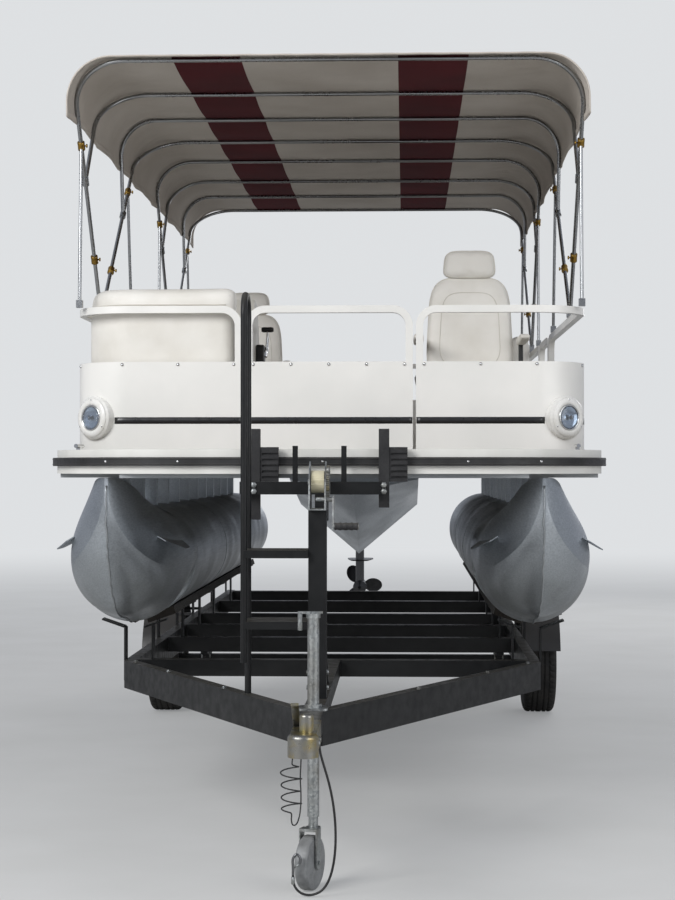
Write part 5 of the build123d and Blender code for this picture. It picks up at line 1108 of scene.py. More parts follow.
def roundedPath(corners, radius, steps=14):
    # straight runs between (x, y) corners with a quarter-circle arc at the middle one
    a, b, c = [np.asarray(p, dtype=float) for p in corners]
    u, v = (a - b) / np.linalg.norm(a - b), (c - b) / np.linalg.norm(c - b)
    centre = b + radius * (u + v)
    turn = np.linspace(0, math.pi / 2, steps)[:, None]
    arc = centre - radius * (v * np.cos(turn) + u * np.sin(turn))
    return np.concatenate([[a], arc, [c]])


def backSeams(name, line, across, back):
    # a seam along each side of a back, a little below its top, short of the rounded ends
    for label, side in (("SeamInside", -1), ("SeamOutside", 1)):
        height = np.full((len(line) - 14, 1), backHigh - cushionFacts["seamDrop"])
        seam = np.concatenate([line[7:-7] - side * across[7:-7] * half, height], axis=1)
        sewn(name + label, seam, back, cushionFacts["thinPiping"], root, closed=False)


backSection = bolsterSection(half - 0.004, seatLow, backHigh - 0.003, cushionFacts["topRound"],
                             cushionFacts["lowRound"])
couchPath = roundedPath([(couch["inner"] - 0.002, front + half), (outer + half, front + half),
                         (outer + half, end - 0.002)], couch["bend"] - half)
couchBack, line, across = bolster("bowCouchBack", couchPath, backSection, couchCushions,
                                  ((outer, front, seatLow), (couch["inner"], end, backHigh)))
backSeams("bowCouchBack", line, across, couchBack)
print("bow couch made")

lounge = {
    "inner": 0.508,
    "seatOuter": 0.975,
    "outer": 1.108,
    "front": 1.1825,
    "end": 2.3825,
}
loungeCushions = ("stern_lounge_cushions",)
seatPad("sternLoungeSeat", (lounge["inner"], lounge["seatOuter"]), (lounge["front"], lounge["end"]),
        loungeCushions)
middle = lounge["outer"] - half
loungePath = [(middle, lounge["front"] + 0.002), (middle, lounge["end"] - 0.002)]
loungeBack, line, across = bolster(
    "sternLoungeBack", loungePath, backSection, loungeCushions,
    ((middle - half, lounge["front"], seatLow), (lounge["outer"], lounge["end"], backHigh)))
backSeams("sternLounge", line, across, loungeBack)
print("stern lounge made")


# Chairs

chairFacts = {
    "seatTop": 2.030,
    "seatThick": 0.110,
    "width": 0.490,
    "seatDepth": 0.460,
    "backBottom": (0.175, 1.985),    # (distance behind the seat's middle, height) of the back's middle plane
    "backTop": (0.225, 2.540),
    "headBottom": 2.525,
    "headTop": 2.668,
    "headWidth": 0.280,
    "headBehind": 0.212,             # behind the seat's middle
    "padHalf": 0.050,
    "piping": 0.0034,
    "stitch": 0.0022,
    "armLow": 2.178,
    "armOut": 0.262,                 # from the chair's middle to an arm's
    "armHalf": (0.026, 0.196),
    # the arm's bent post from its top to the seat: inward, behind the seat's middle, height
    "armPost": [(0.0, 0.196, 2.184), (0.0, 0.196, 2.10), (0.0, 0.194, 2.02), (0.008, 0.188, 1.978),
                (0.030, 0.184, 1.968)],
    "swivelPlate": [(0.0005, 0.0), (0.100, 0.0), (0.104, 0.004), (0.104, 0.010), (0.0005, 0.012)],
}


def chair(body, x, y):
    # high-back helm chair that faces the bow: seat, curved back, headrest and two arms
    facts = chairFacts
    stands = (body,)
    halfX, halfY = facts["width"] / 2, facts["seatDepth"] / 2
    low = facts["seatTop"] - facts["seatThick"]
    outline = superOutline(halfX - 0.006, halfY - 0.012, 7.0)
    seat, seam = pad(body + "_seat", outline, (x, y - 0.004, low + 0.056), (1, 0, 0), (0, 1, 0),
                     facts["padHalf"], 0.048, square=14.0, roundness=2.0)
    coords = coordsOf(seat.data)
    fromMiddle = (coords[:, 0] - x) / halfX
    # side bolsters stand up a little and the front edge rolls down
    coords[:, 2] += np.where(coords[:, 2] > low + 0.06, 0.010 * np.abs(fromMiddle) ** 4 - 0.004, 0)
    coords[:, 2] -= 0.018 * np.clip((y - halfY * 0.55 - coords[:, 1]) / (halfY * 0.45), 0, 1) ** 2
    moveCoords(seat.data, coords)
    finishPiece(seat, body, "upholstery", vinyl, stands)
    puff(seat, 0.005, 0.012)
    keptInside(seat, (x - halfX, y - halfY, low), (x + halfX, y + halfY, facts["seatTop"] + 0.006))
    for name, shift in (("_seatPiping", 0.026), ("_seatLowerPiping", -0.030)):
        sewn(body + name, seam + np.array([0, 0, shift]), seat, facts["piping"], body)
    inset = superOutline(halfX - 0.075, halfY - 0.075, 4.0)
    line = np.stack([x + inset[:, 0], y + inset[:, 1], np.full(len(inset), facts["seatTop"] + 0.02)], axis=1)
    sewn(body + "_seatStitch", line, seat, facts["stitch"], body)

    bottom, top = np.array(facts["backBottom"]), np.array(facts["backTop"])
    height = np.linalg.norm(top - bottom)
    up = np.array([0, *(top - bottom) / height])
    middle = (bottom + top) / 2
    origin = (x, y + middle[0], middle[1])
    outline = superOutline(0.232, height / 2, 4.2, 0.12)
    back, seam = pad(body + "_back", outline, origin, (1, 0, 0), up, facts["padHalf"], 0.046)
    coords = coordsOf(back.data)
    # the sides wrap forward round the sitter
    coords[:, 1] -= 0.022 * (np.abs(coords[:, 0] - x) / 0.23) ** 2.5
    moveCoords(back.data, coords)
    finishPiece(back, body, "upholstery", vinyl, stands)
    puff(back, 0.005, 0.012)
    for name, shift in (("_backPiping", -0.026), ("_backRearPiping", 0.026)):
        sewn(body + name, seam + np.array([0, shift, 0]), back, facts["piping"], body)
    inset = superOutline(0.160, height / 2 - 0.085, 4.0, 0.12)
    line = np.array([x, origin[1] - 0.08, origin[2]]) + inset[:, :1] * np.array([1, 0, 0]) + inset[:, 1:] * up
    sewn(body + "_backStitch", line, back, facts["stitch"], body)

    headMiddle = (facts["headBottom"] + facts["headTop"]) / 2
    outline = superOutline(facts["headWidth"] / 2, (facts["headTop"] - facts["headBottom"]) / 2, 4.5, 0.10)
    head, seam = pad(body + "_headrest", outline, (x, y + facts["headBehind"], headMiddle), (1, 0, 0), up,
                     0.044, 0.044, rings=16, square=7.0)
    finishPiece(head, body, "upholstery", vinyl, stands)
    puff(head, 0.004, 0.010)
    sewn(body + "_headPiping", seam + np.array([0, -0.022, 0]), head, 0.0030, body)

    for side, label in ((-1, "Starboard"), (1, "Port")):
        armX = x + side * facts["armOut"]
        arm, seam = pad(body + "_arm" + label, superOutline(*facts["armHalf"], 7.0),
                        (armX, y + 0.030, facts["armLow"] + 0.023), (1, 0, 0), (0, 1, 0), 0.021, 0.021,
                        rings=12, square=5.0)
        finishPiece(arm, body, "upholstery", vinyl, stands)
        path = np.array([(armX - side * inward, y + behind, z) for inward, behind, z in facts["armPost"]])
        fine = pointsAt(path, np.arange(len(path)), np.linspace(0, 4, 25))
        post = tubeAlong(body + "_armPost" + label, fine, 1.0, section=roundedOutline(0.011, 0.020, 0.006, 4))
        finishPiece(post, body, "black_plastic")
    # the swivel plate between the seat and the pedestal
    plate = turned(body + "_swivelPlate", facts["swivelPlate"], (x, y, low - 0.001), (0, 0, 1), 40)
    finishPiece(plate, body, "black_plastic")


chair("chair_port", 0.670, -0.9275)
chair("chair_helm", -0.650, 1.2825)
print("chairs made")


# Fence stripe, snap buttons and docking lights

sideNames = {-1: "Starboard", 1: "Port"}


def studs(name, centres, normals, profile, sides=14):
    # many small turned shapes in one mesh: centre + radius x turning direction + height x normal,
    # for each (radius, height) point of the profile
    centres, normals = np.asarray(centres, dtype=float), np.asarray(normals, dtype=float)
    profile = np.asarray(profile, dtype=float)
    normals = normals / np.linalg.norm(normals, axis=1, keepdims=True)
    helper = np.where(np.abs(normals[:, 2:]) < 0.9, [[0.0, 0.0, 1.0]], [[1.0, 0.0, 0.0]])
    first = np.cross(normals, helper)
    first /= np.linalg.norm(first, axis=1, keepdims=True)
    second = np.cross(normals, first)
    angle = fullTurn(sides)
    ring = (np.cos(angle)[None, :, None] * first[:, None, :]
            + np.sin(angle)[None, :, None] * second[:, None, :])
    points = (centres[:, None, None, :] + profile[None, None, :, :1] * ring[:, :, None, :]
              + profile[None, None, :, 1:] * normals[:, None, None, :])
    one = gridFaces(sides, len(profile), wrapRows=True)
    size = sides * len(profile)
    faces = (one[None] + (np.arange(len(centres)) * size)[:, None, None]).reshape(-1, 4)
    return outward(meshFrom(name, points, faces))


def rearMirrored(line):
    # the same outline at the stern end of the fence
    mirrored = line.copy()
    mirrored[:, 1] = aft(boat["fenceFront"]) + aft(boat["fenceRear"]) - line[:, 1]
    return mirrored


def wallBand(name, start, end, low, high, thickness, atStern=False):
    # a strip on the fence: the fence's line at two distances out, at two heights each, with its
    # outer edges half a thickness short of the inner ones
    gap = 0.0002
    inner, outer = fenceLine(gap, start, end), fenceLine(gap + thickness, start, end)
    if atStern:
        inner, outer = rearMirrored(inner), rearMirrored(outer)
    short = thickness / 2
    rows = [np.column_stack([line, np.full(len(line), z)])
            for line, z in ((inner, low), (outer, low + short), (outer, high - short), (inner, high))]
    count = len(inner)
    ends = [[0, 1, 2, 3], [count * 4 - 1 - i for i in range(4)]]
    faces = gridFaces(count, 4, wrapColumns=True).tolist() + ends
    return outward(meshFrom(name, np.stack(rows, axis=1), faces))


# Fence runs: name, body, where along the outline it starts and ends, at the stern or not.
# Distance 0 is the middle of the bow or stern; 0.962 to 1.168 is under a docking light.
fenceRuns = [
    ("starboardBowFront", root, -0.962, -0.391, False),
    ("starboardBowSide", root, -3.342, -1.168, False),
    ("bowGate", "gate_bow", -0.373, 0.373, False),
    ("portBowFront", root, 0.391, 0.962, False),
    ("portBowSide", root, 1.168, 2.995, False),
    ("sideGate", "gate_side", 3.013, 3.689, False),
    ("starboardAft", root, -3.392, -0.866, True),
    ("sternGate", "gate_stern", -0.848, -0.252, True),
    ("portAft", root, -0.234, 3.044, True),
]
fenceTrim = {
    "stripe": (1.752, 1.782),    # lower and upper edge
    "stripeThick": 0.0008,
    "lip": (1.624, 1.640),       # the rolled lip along the panel's lower edge
    "lipThick": 0.0025,
    "snapHeight": 2.018,
    "snapPitch": 0.165,
    "snapEnd": 0.035,            # from the end of a panel to its first snap
    "snapProfile": [(0.0001, 0.0), (0.0075, 0.0), (0.0075, 0.0018), (0.0054, 0.0022),
                    (0.00495, 0.0042), (0.0030, 0.0056), (0.0001, 0.006)],
}
for name, body, start, end, atStern in fenceRuns:
    stripe = wallBand(name + "Stripe", start, end, *fenceTrim["stripe"], fenceTrim["stripeThick"], atStern)
    finishPiece(stripe, body, "black_plastic", stripeVinyl)
    lip = wallBand(name + "Lip", start, end, *fenceTrim["lip"], fenceTrim["lipThick"], atStern)
    finishPiece(lip, body, "fence", trimWhite)
    count = max(2, int(round((end - start) / fenceTrim["snapPitch"])))
    along = np.linspace(start + fenceTrim["snapEnd"], end - fenceTrim["snapEnd"], count)
    line = np.concatenate([fenceLine(0.0, s, s + 1e-4)[:1] for s in along])
    outer = np.concatenate([fenceLine(0.01, s, s + 1e-4)[:1] for s in along])
    if atStern:
        line, outer = rearMirrored(line), rearMirrored(outer)
    normals = np.column_stack([outer - line, np.zeros(count)])
    centres = np.column_stack([line, np.full(count, fenceTrim["snapHeight"])])
    snaps = studs(name + "Snaps", centres, normals, fenceTrim["snapProfile"], 12)
    finishPiece(snaps, body, "bright_metal")
print("fence trimmed")

# Clear moulded acrylic of the docking light's lens, with flutes 5 mm apart that bend what is behind
lensClear, tree, shader, place = newMaterial("clearAcrylicLens", 0.04, extra={
    "Transmission Weight": 0.92, "IOR": 1.49, "Base Color": hexColour("#dfe8f2")})
flutes = addNode(tree, "TexWave", {"Scale": 60.0, "bands_direction": "Z"}, {"Vector": place})
raised(tree, shader, flutes.outputs["Fac"], 0.0008, 0.5)
# Vacuum-plated reflector: a bright mirror film on moulded plastic
reflector = metal("vacuumPlatedReflector", ("#b9bfc6", "#e2e5e8"), (0.05, 0.12), scale=30.0, depth=0.00005)

dockingLight = {
    "turn": 36.0,           # degrees from straight ahead
    "bend": 0.908,          # the middle of the fence's corner, across the boat
    "height": 1.780,
    "face": 0.272,          # from that middle to the face of the housing
    "ringRadius": 0.0548,
    "ringThick": 0.0042,
    "ringRise": 0.0068,
    "screwCircle": 0.079,
    "screwRise": 0.007,
    "bezel": [(0.0585, 0.0), (0.0585, 0.006), (0.0625, 0.0098), (0.069, 0.0105), (0.079, 0.008),
              (0.087, 0.0035), (0.0892, 0.0), (0.0585, 0.0)],
    "reflector": [(0.0001, 0.0006), (0.014, 0.0008), (0.030, 0.0016), (0.044, 0.0036), (0.0515, 0.0062),
                  (0.0515, 0.0002), (0.0001, 0.0002)],
    "bulb": [(0.0001, 0.0008), (0.011, 0.0008), (0.0115, 0.003), (0.009, 0.0068), (0.004, 0.0088),
             (0.0001, 0.0092)],
    "lens": [(0.0522, 0.0066), (0.047, 0.0100), (0.034, 0.0130), (0.018, 0.0145), (0.0001, 0.0150),
             (0.0001, 0.0136), (0.018, 0.0131), (0.034, 0.0116), (0.047, 0.0086), (0.0522, 0.0066)],
    "screw": [(0.0001, 0.0), (0.0042, 0.0), (0.0042, 0.0012), (0.0022, 0.0026), (0.0001, 0.0028)],
}
ring = np.linspace(0, 2 * math.pi, 15)
trimRing = np.stack([dockingLight["ringRadius"] + dockingLight["ringThick"] * np.cos(ring),
                     dockingLight["ringRise"] + dockingLight["ringThick"] * np.sin(ring)], axis=1)
lightParts = [
    ("LightBezel", dockingLight["bezel"], 64, "light", lightPlastic),
    ("LightRing", trimRing, 64, "bright_metal", chrome),
    ("LightReflector", dockingLight["reflector"], 48, "bright_metal", reflector),
    ("LightBulb", dockingLight["bulb"], 32, "black_plastic", stripeVinyl),
    ("LightLens", dockingLight["lens"], 64, "light", lensClear),
]
for side in (-1, 1):
    label = sideNames[side].lower()
    angle = math.radians(dockingLight["turn"])
    out = np.array([side * math.sin(angle), -math.cos(angle), 0.0])
    corner = aft(boat["fenceFront"] + boat["fenceRadius"])
    centre = np.array([side * dockingLight["bend"], corner, dockingLight["height"]])
    centre = centre + out * dockingLight["face"]
    for part, profile, sides, slotName, material in lightParts:
        finishPiece(turned(label + part, profile, centre, out, sides), root, slotName, material)
    # three pan-head screws through the bezel
    across, up = np.cross(out, [0, 0, 1]), np.array([0, 0, 1])
    spots = [centre + dockingLight["screwCircle"] * (math.cos(a) * across + math.sin(a) * up)
             + dockingLight["screwRise"] * out for a in (math.pi / 2, math.pi * 7 / 6, math.pi * 11 / 6)]
    screws = studs(label + "LightScrews", spots, [out] * 3, dockingLight["screw"], 12)
    finishPiece(screws, root, "bright_metal")
print("docking lights made")


# Pontoon welds, drain plugs and the deck's edge

def onSurface(nodeName, line, lift=0.0):
    # points moved onto a CAD node's surface, then lifted along its normals
    surface = BVHTree.FromObject(nodes[nodeName], bpy.context.evaluated_depsgraph_get())
    found = [surface.find_nearest(tuple(p)) for p in line]
    return np.array([np.array(f[0][:]) + lift * np.array(f[1][:]) for f in found])


def smoothLine(points, count):
    # a smooth curve through a few points, at even shares of its length: the straight line between
    # them averaged over a window in the shape of a bell
    points = np.asarray(points, dtype=float)
    reach = reachAlong(points)
    dense = pointsAt(points, reach, np.linspace(0, reach[-1], count * 4))
    bell = np.hanning(count // 3 * 2 + 1)
    bell /= bell.sum()
    longer = np.pad(dense, ((len(bell) // 2,) * 2, (0, 0)), mode="edge")
    smooth = np.stack([np.convolve(column, bell, mode="valid") for column in longer.T], axis=1)
    smooth[0], smooth[-1] = points[0], points[-1]
    return smooth[::4]


def ringAt(x, y, z, radius, count):
    # a circle round an axis that runs along the boat
    angle = fullTurn(count)
    return np.stack([x + radius * np.cos(angle), np.full(count, y), z + radius * np.sin(angle)], axis=1)


pontoon = {
    "x": 0.925,
    "radius": 0.260,
    "middle": 1.115,
    "seams": (1.2, 2.75, 4.35),    # where the tube's lengths are welded, distances behind the deck's front
    # the stem, where the two halves of a nose meet: distance behind the deck's front, height
    "stem": [(0.150, 1.48), (0.148, 1.325), (0.165, 1.255), (0.215, 1.130), (0.290, 1.030), (0.400, 0.945),
             (0.560, 0.893), (0.760, 0.866), (0.960, 0.856), (1.19, 0.852)],
    "stemBead": 0.0045,
    "seamBead": 0.0030,
    "capBead": 0.0040,
    "capRadius": 0.256,
    "capEnd": 5.9005,
    "plugHeight": 0.905,
    "plug": [(0.0001, 0.0), (0.022, 0.0), (0.022, 0.006), (0.013, 0.008), (0.012, 0.020), (0.0001, 0.021)],
}
stem = np.array(pontoon["stem"])
for side, node in ((-1, "pontoon_starboard"), (1, "pontoon_port")):
    x, middle = side * pontoon["x"], pontoon["middle"]
    line = smoothLine(np.column_stack([np.full(len(stem), x), aft(0) + stem[:, 0], stem[:, 1]]), 60)
    bead = pontoon["stemBead"] + 0.0006 * np.cos(np.arange(60) * 1.9)   # the ripples of a hand-laid weld
    finishPiece(tubeAlong(node + "_stemWeld", onSurface(node, line, 0.001), bead, 10), root, "hull", weldBead)
    bead = pontoon["seamBead"] + 0.0005 * np.cos(np.arange(72) * 2.1)
    for number, distance in enumerate(pontoon["seams"]):
        ring = ringAt(x, aft(distance), middle, pontoon["radius"], 72)
        seam = tubeAlong(node + "_seam%d" % number, ring, bead, 8, closed=True)
        finishPiece(seam, root, "hull", weldBead)
    # the bead round the cap plate at the stern, and the drain plug in the plate
    ring = ringAt(x, aft(pontoon["capEnd"]), middle, pontoon["capRadius"], 72)
    cap = tubeAlong(node + "_capWeld", ring, pontoon["capBead"], 8, closed=True)
    finishPiece(cap, root, "hull", weldBead)
    plug = turned(node + "_drainPlug", pontoon["plug"], (x, aft(5.9), pontoon["plugHeight"]), (0, 1, 0), 6)
    finishPiece(plug, root, "bright_metal", brass)

# Screws through the rub rail's insert and the deck trim, left out where the bow stops and the winch are
railScrews = {
    "height": 1.581,
    "pitch": 0.30,
    "side": 1.228,
    "front": -0.028,
    "acrossEnd": 0.9,
    "sideStart": 0.75,
    "sideEnd": 5.8,
    "hidden": ((-0.277, 0.06), (0.254, 0.06), (0.31, 0.07)),    # middle and half width of each gap
    "profile": [(0.0001, -0.0005), (0.005, -0.0005), (0.005, 0.0006), (0.0028, 0.0020), (0.0001, 0.0022)],
}
spots, normals = [], []
for x in np.arange(-railScrews["acrossEnd"], railScrews["acrossEnd"] + 0.01, railScrews["pitch"]):
    if all(abs(x - middle) > half for middle, half in railScrews["hidden"]):
        spots.append((x, aft(railScrews["front"]), railScrews["height"]))
        normals.append((0, -1, 0))
for side in (-1, 1):
    for distance in np.arange(railScrews["sideStart"], railScrews["sideEnd"], railScrews["pitch"]):
        spots.append((side * railScrews["side"], aft(distance), railScrews["height"]))
        normals.append((side, 0, 0))
screws = studs("rubRailScrews", spots, normals, railScrews["profile"], 10)
finishPiece(screws, root, "bright_metal")

# The two beads of the vinyl insert along the rub rail
railBeads = {
    "rubRailUpperBead": 1.5925,
    "rubRailLowerBead": 1.5695,
    "radius": 0.0022,
    "half": 1.228,        # outline of the rail: half width, front, corner radius and stern end
    "front": aft(-0.028),
    "corner": 0.628,
    "rear": aft(5.88),
    "flat": 0.55,         # half of the straight stretch at the bow that gets its own points
}
half, front, corner = railBeads["half"], railBeads["front"], railBeads["corner"]
angle = np.linspace(0, math.pi / 2, 24)
bowCurve = np.stack([half - corner + corner * np.sin(angle), front + corner - corner * np.cos(angle)], axis=1)
sideLine = np.stack([np.full(60, half), np.linspace(front + corner, railBeads["rear"], 62)[1:-1]], axis=1)
starboardLine = np.concatenate([bowCurve, sideLine])[::-1] * np.array([-1, 1])
bowLine = [(x, front) for x in np.linspace(-railBeads["flat"], railBeads["flat"], 12)]
railLine = np.concatenate([starboardLine, bowLine, bowCurve, sideLine])
for name in ("rubRailUpperBead", "rubRailLowerBead"):
    line = np.column_stack([railLine, np.full(len(railLine), railBeads[name])])
    bead = tubeAlong(name, onSurface("rub_rail", line), railBeads["radius"], 8)
    finishPiece(bead, root, "rub_rail")
print("pontoons and deck detailed")


# Canopy frame clamps

canopyFrame = {
    "x": 1.1342,
    "crown": 3.3542,
    "foot": 2.315,
    "bend": 0.1845,
    "pivot": 0.302,          # share of the set's length where its legs meet
    "spread": 0.024,
    "clampShares": (0.27, 0.83),
    "sleeve": 0.0168,
    "halfSleeve": 0.0205,
    "sleeveSteps": [-1.0, -0.93, -0.4, -0.3, 0.3, 0.4, 0.93, 1.0],
    "sleeveShares": [0.90, 1.0, 1.0, 0.975, 0.975, 1.0, 1.0, 0.90],
    "thumbscrew": [(0.0001, 0.0), (0.0035, 0.0), (0.0035, 0.006), (0.0085, 0.007), (0.0090, 0.010),
                   (0.0085, 0.013), (0.0001, 0.014)],
}
sleeves, knobs, knobNormals = [], [], []
sleeveSteps = np.array(canopyFrame["sleeveSteps"])[:, None] * canopyFrame["halfSleeve"]
sleeveRadii = canopyFrame["sleeve"] * np.array(canopyFrame["sleeveShares"])
for number in range(2):
    start = aft(canopy["firstBow"]) + number * canopy["setPitch"]
    pivot = start + canopyFrame["pivot"] * canopy["setPitch"]
    for end, bowShare in ((-1, canopy["bowShares"][0]), (1, canopy["bowShares"][-1])):
        for side in (-1, 1):
            x = side * canopyFrame["x"]
            foot = np.array([x, pivot + end * canopyFrame["spread"], canopyFrame["foot"]])
            corner = np.array([x, start + bowShare * canopy["setPitch"], canopyFrame["crown"]])
            run = corner - foot
            lean = np.linalg.norm(run) / run[2]
            shoulder = corner - run / np.linalg.norm(run) * (canopyFrame["bend"] * lean + 0.002)
            leg = shoulder - foot
            unit = leg / np.linalg.norm(leg)
            for clampShare in canopyFrame["clampShares"]:
                middle = foot + leg * clampShare
                sleeves.append(tubeAlong("clampPart", middle + sleeveSteps * unit, sleeveRadii, 20))
                knobs.append(middle - np.array([side * canopyFrame["sleeve"] * 0.9, 0, 0]))
                knobNormals.append((-side, 0, 0))
finishPiece(joined("canopyClamps", sleeves), root, "bright_metal", brass)
thumbscrews = studs("clampThumbscrews", knobs, knobNormals, canopyFrame["thumbscrew"], 10)
finishPiece(thumbscrews, root, "bright_metal", brass)
print("canopy clamps made")


# Helm

# Printed dial: black ink under clear lacquer
gaugeFace, tree, shader, place = newMaterial("printedDial", 0.25, extra={"Coat Weight": 0.5})
coloured(tree, shader, blendColours(tree, mottle(tree, place, 300.0), "#0c0d10", "#16181c"))
needlePaint = painted("needlePaint", ("#d8d6cf", "#c9c6bd"), (0.4, 0.5), scale=60.0)

helm = {
    "x": -0.790,
    "dashLow": (0.5625, 2.270),      # (y, z) of the sloping dash's lower and upper edge
    "dashHigh": (0.4325, 2.490),
    "panelHalf": (0.262, 0.108),
    "panelCorner": 0.020,
    "panelThick": 0.004,
    # each gauge: distance across from the wheel's axis, height up the dash from its middle, radius
    "gauges": ((-0.215, 0.060, 0.034), (-0.130, 0.078, 0.022), (0.130, 0.078, 0.022), (0.215, 0.060, 0.034)),
    "ticks": 11,
    "sweep": 130,                    # degrees to each side that the ticks reach
    "needleTurn": -1.2,              # radians
    "rockers": 5,
    "rockerStart": (-0.240, -0.045),
    "rockerPitch": (0.024, 0.034),
    "rockerHalf": (0.009, 0.014),
    "boss": [(0.0001, 0.088), (0.020, 0.087), (0.034, 0.081), (0.040, 0.072), (0.040, 0.066),
             (0.0001, 0.066)],
    "doorPlace": (0.1100, 1.955),    # (y, z)
    "doorHalf": (0.19, 0.27),
    "doorLean": (-0.0819, 0.9966),
    "doorRise": 0.010,
}
low, high = np.array([0, *helm["dashLow"]]), np.array([0, *helm["dashHigh"]])
dashUp = (high - low) / np.linalg.norm(high - low)
dashOut = np.cross([1.0, 0.0, 0.0], dashUp)
dashOut = dashOut if dashOut[1] > 0 else -dashOut
dashMiddle = (low + high) / 2 + np.array([helm["x"], 0, 0])
panel = prism("dashPanel", roundedOutline(*helm["panelHalf"], helm["panelCorner"]),
              dashMiddle + dashOut * 0.0002, (-1, 0, 0), dashUp, helm["panelThick"])
finishPiece(beveled(panel, 0.0012), root, "black_plastic")


def dialPoint(centre, reach, turn):
    # a place on a dial at a distance from its centre, turned from straight up
    return centre + reach * (math.sin(turn) * np.array([-1.0, 0, 0]) + math.cos(turn) * dashUp)


for number, (across, up, radius) in enumerate(helm["gauges"]):
    centre = dashMiddle + np.array([across, 0, 0]) + dashUp * up + dashOut * helm["panelThick"]
    bezel = np.array([(0.86 * radius, 0.0), (radius, 0.0), (radius, 0.004), (0.92 * radius, 0.007),
                      (0.86 * radius, 0.0045), (0.86 * radius, 0.0)])
    finishPiece(turned("gaugeBezel%d" % number, bezel, centre, dashOut, 40), root, "bright_metal")
    dial = [(0.0001, 0.0022), (0.87 * radius, 0.0022), (0.87 * radius, 0.0004), (0.0001, 0.0004)]
    finishPiece(turned("gaugeFace%d" % number, dial, centre, dashOut, 40), root, "black_plastic", gaugeFace)
    turns = np.radians(np.linspace(-helm["sweep"], helm["sweep"], helm["ticks"]))
    spots = [dialPoint(centre, radius * 0.70, a) + dashOut * 0.0022 for a in turns]
    tick = [(0.0001, 0.0004), (0.045 * radius, 0.0004), (0.045 * radius, 0.0), (0.0001, 0.0)]
    ticks = studs("gaugeTicks%d" % number, spots, [dashOut] * helm["ticks"], tick, 6)
    finishPiece(ticks, root, "light", needlePaint)
    tip = dialPoint(centre, radius * 0.66, helm["needleTurn"])
    line = np.array([centre, (centre + tip) / 2, tip]) + dashOut * 0.0032
    needle = tubeAlong("gaugeNeedle%d" % number, line, [0.0014, 0.001, 0.0006], 6)
    finishPiece(needle, root, "tail_light")
# Rocker switches in two rows under the gauges
for number in range(helm["rockers"]):
    across = helm["rockerStart"][0] + helm["rockerPitch"][0] * (number % 3)
    up = helm["rockerStart"][1] - helm["rockerPitch"][1] * (number // 3)
    centre = dashMiddle + np.array([across, 0, 0]) + dashUp * up
    rocker = prism("rockerSwitch%d" % number, roundedOutline(*helm["rockerHalf"], 0.003, 4),
                   centre + dashOut * helm["panelThick"], (-1, 0, 0), dashUp, 0.005)
    finishPiece(beveled(rocker, 0.0015), root, "black_plastic")
# The cover over the steering wheel's nut
boss = turned("wheelBoss", helm["boss"], dashMiddle, dashOut, 40)
finishPiece(boss, "helm", "black_plastic")

# Throttle box on the console's inboard side, with its lever and grip
throttle = {
    "box": (-0.5098, 0.36, 2.185),
    "boxHalf": (0.062, 0.075),
    "boxThick": 0.046,
    "lever": [(-0.462, 0.36, 2.19), (-0.452, 0.362, 2.23), (-0.449, 0.372, 2.30), (-0.449, 0.380, 2.345)],
    "leverHalf": (0.0055, 0.012),
    "grip": (-0.449, 0.381, 2.350),
    "gripProfile": [(0.0001, -0.036), (0.012, -0.034), (0.0155, -0.02), (0.0145, 0.0), (0.0155, 0.02),
                    (0.012, 0.034), (0.0001, 0.036)],
}
box = prism("throttleBox", roundedOutline(*throttle["boxHalf"], 0.022), throttle["box"], (0, 1, 0), (0, 0, 1),
            throttle["boxThick"])
finishPiece(beveled(box, 0.008, 3), root, "black_plastic")
lever = tubeAlong("throttleLever", smoothLine(throttle["lever"], 20), 1.0,
                  section=roundedOutline(*throttle["leverHalf"], 0.004, 4))
finishPiece(lever, root, "bright_metal")
knob = turned("throttleKnob", throttle["gripProfile"], throttle["grip"], (1, 0, 0), 28)
finishPiece(knob, root, "black_plastic")
# Locker door on the console's forward face
door = prism("consoleDoor", roundedOutline(*helm["doorHalf"], 0.04), (helm["x"], *helm["doorPlace"]),
             (1, 0, 0), (0, *helm["doorLean"]), -helm["doorRise"])
finishPiece(beveled(door, 0.004, 3), root, "shell")
print("helm made")


# Outboard

outboard = {
    "cowlHalf": (0.20, 0.29),
    "y": 3.8175,
    # bands round the cowl: height, radius, finish
    "bands": {
        "cowlSeal": (1.7015, 0.0045, blackPlastic),
        "cowlBand": (1.760, 0.0035, chrome),
        "cowlUpperBand": (1.775, 0.0020, chrome),
    },
    "grip": [(-0.07, 4.083, 2.02), (-0.055, 4.0975, 2.035), (0.0, 4.0975, 2.04), (0.055, 4.0975, 2.035),
             (0.07, 4.083, 2.02)],
    "gripRadius": 0.009,
    "ram": [(0.0, 3.522, 1.262), (0.0, 3.530, 1.290), (0.0, 3.5305, 1.2905), (0.0, 3.548, 1.352),
            (0.0, 3.5485, 1.3525), (0.0, 3.556, 1.380)],
    "ramRadii": [0.020, 0.020, 0.020, 0.020, 0.009, 0.009],
    "screwPlace": (0.092, 3.4560, 1.452),
    "screw": [(0.0001, 0.0), (0.017, 0.0), (0.017, 0.010), (0.0001, 0.011)],
    "boltPlace": (0.05, 3.5215, 1.235),
    "bolt": [(0.0001, 0.0), (0.012, 0.0), (0.012, 0.008), (0.0001, 0.009)],
    "anodePlace": (0.0, 3.93, 0.8600),
    "anodeHalf": (0.022, 0.045),
    "nutPlace": (0, 3.9935, 0.665),
    "nut": [(0.0001, 0.0), (0.017, 0.0), (0.017, 0.010), (0.010, 0.014), (0.0001, 0.015)],
}
cowlLine = superOutline(*outboard["cowlHalf"], 5.0, 0.0, 120)
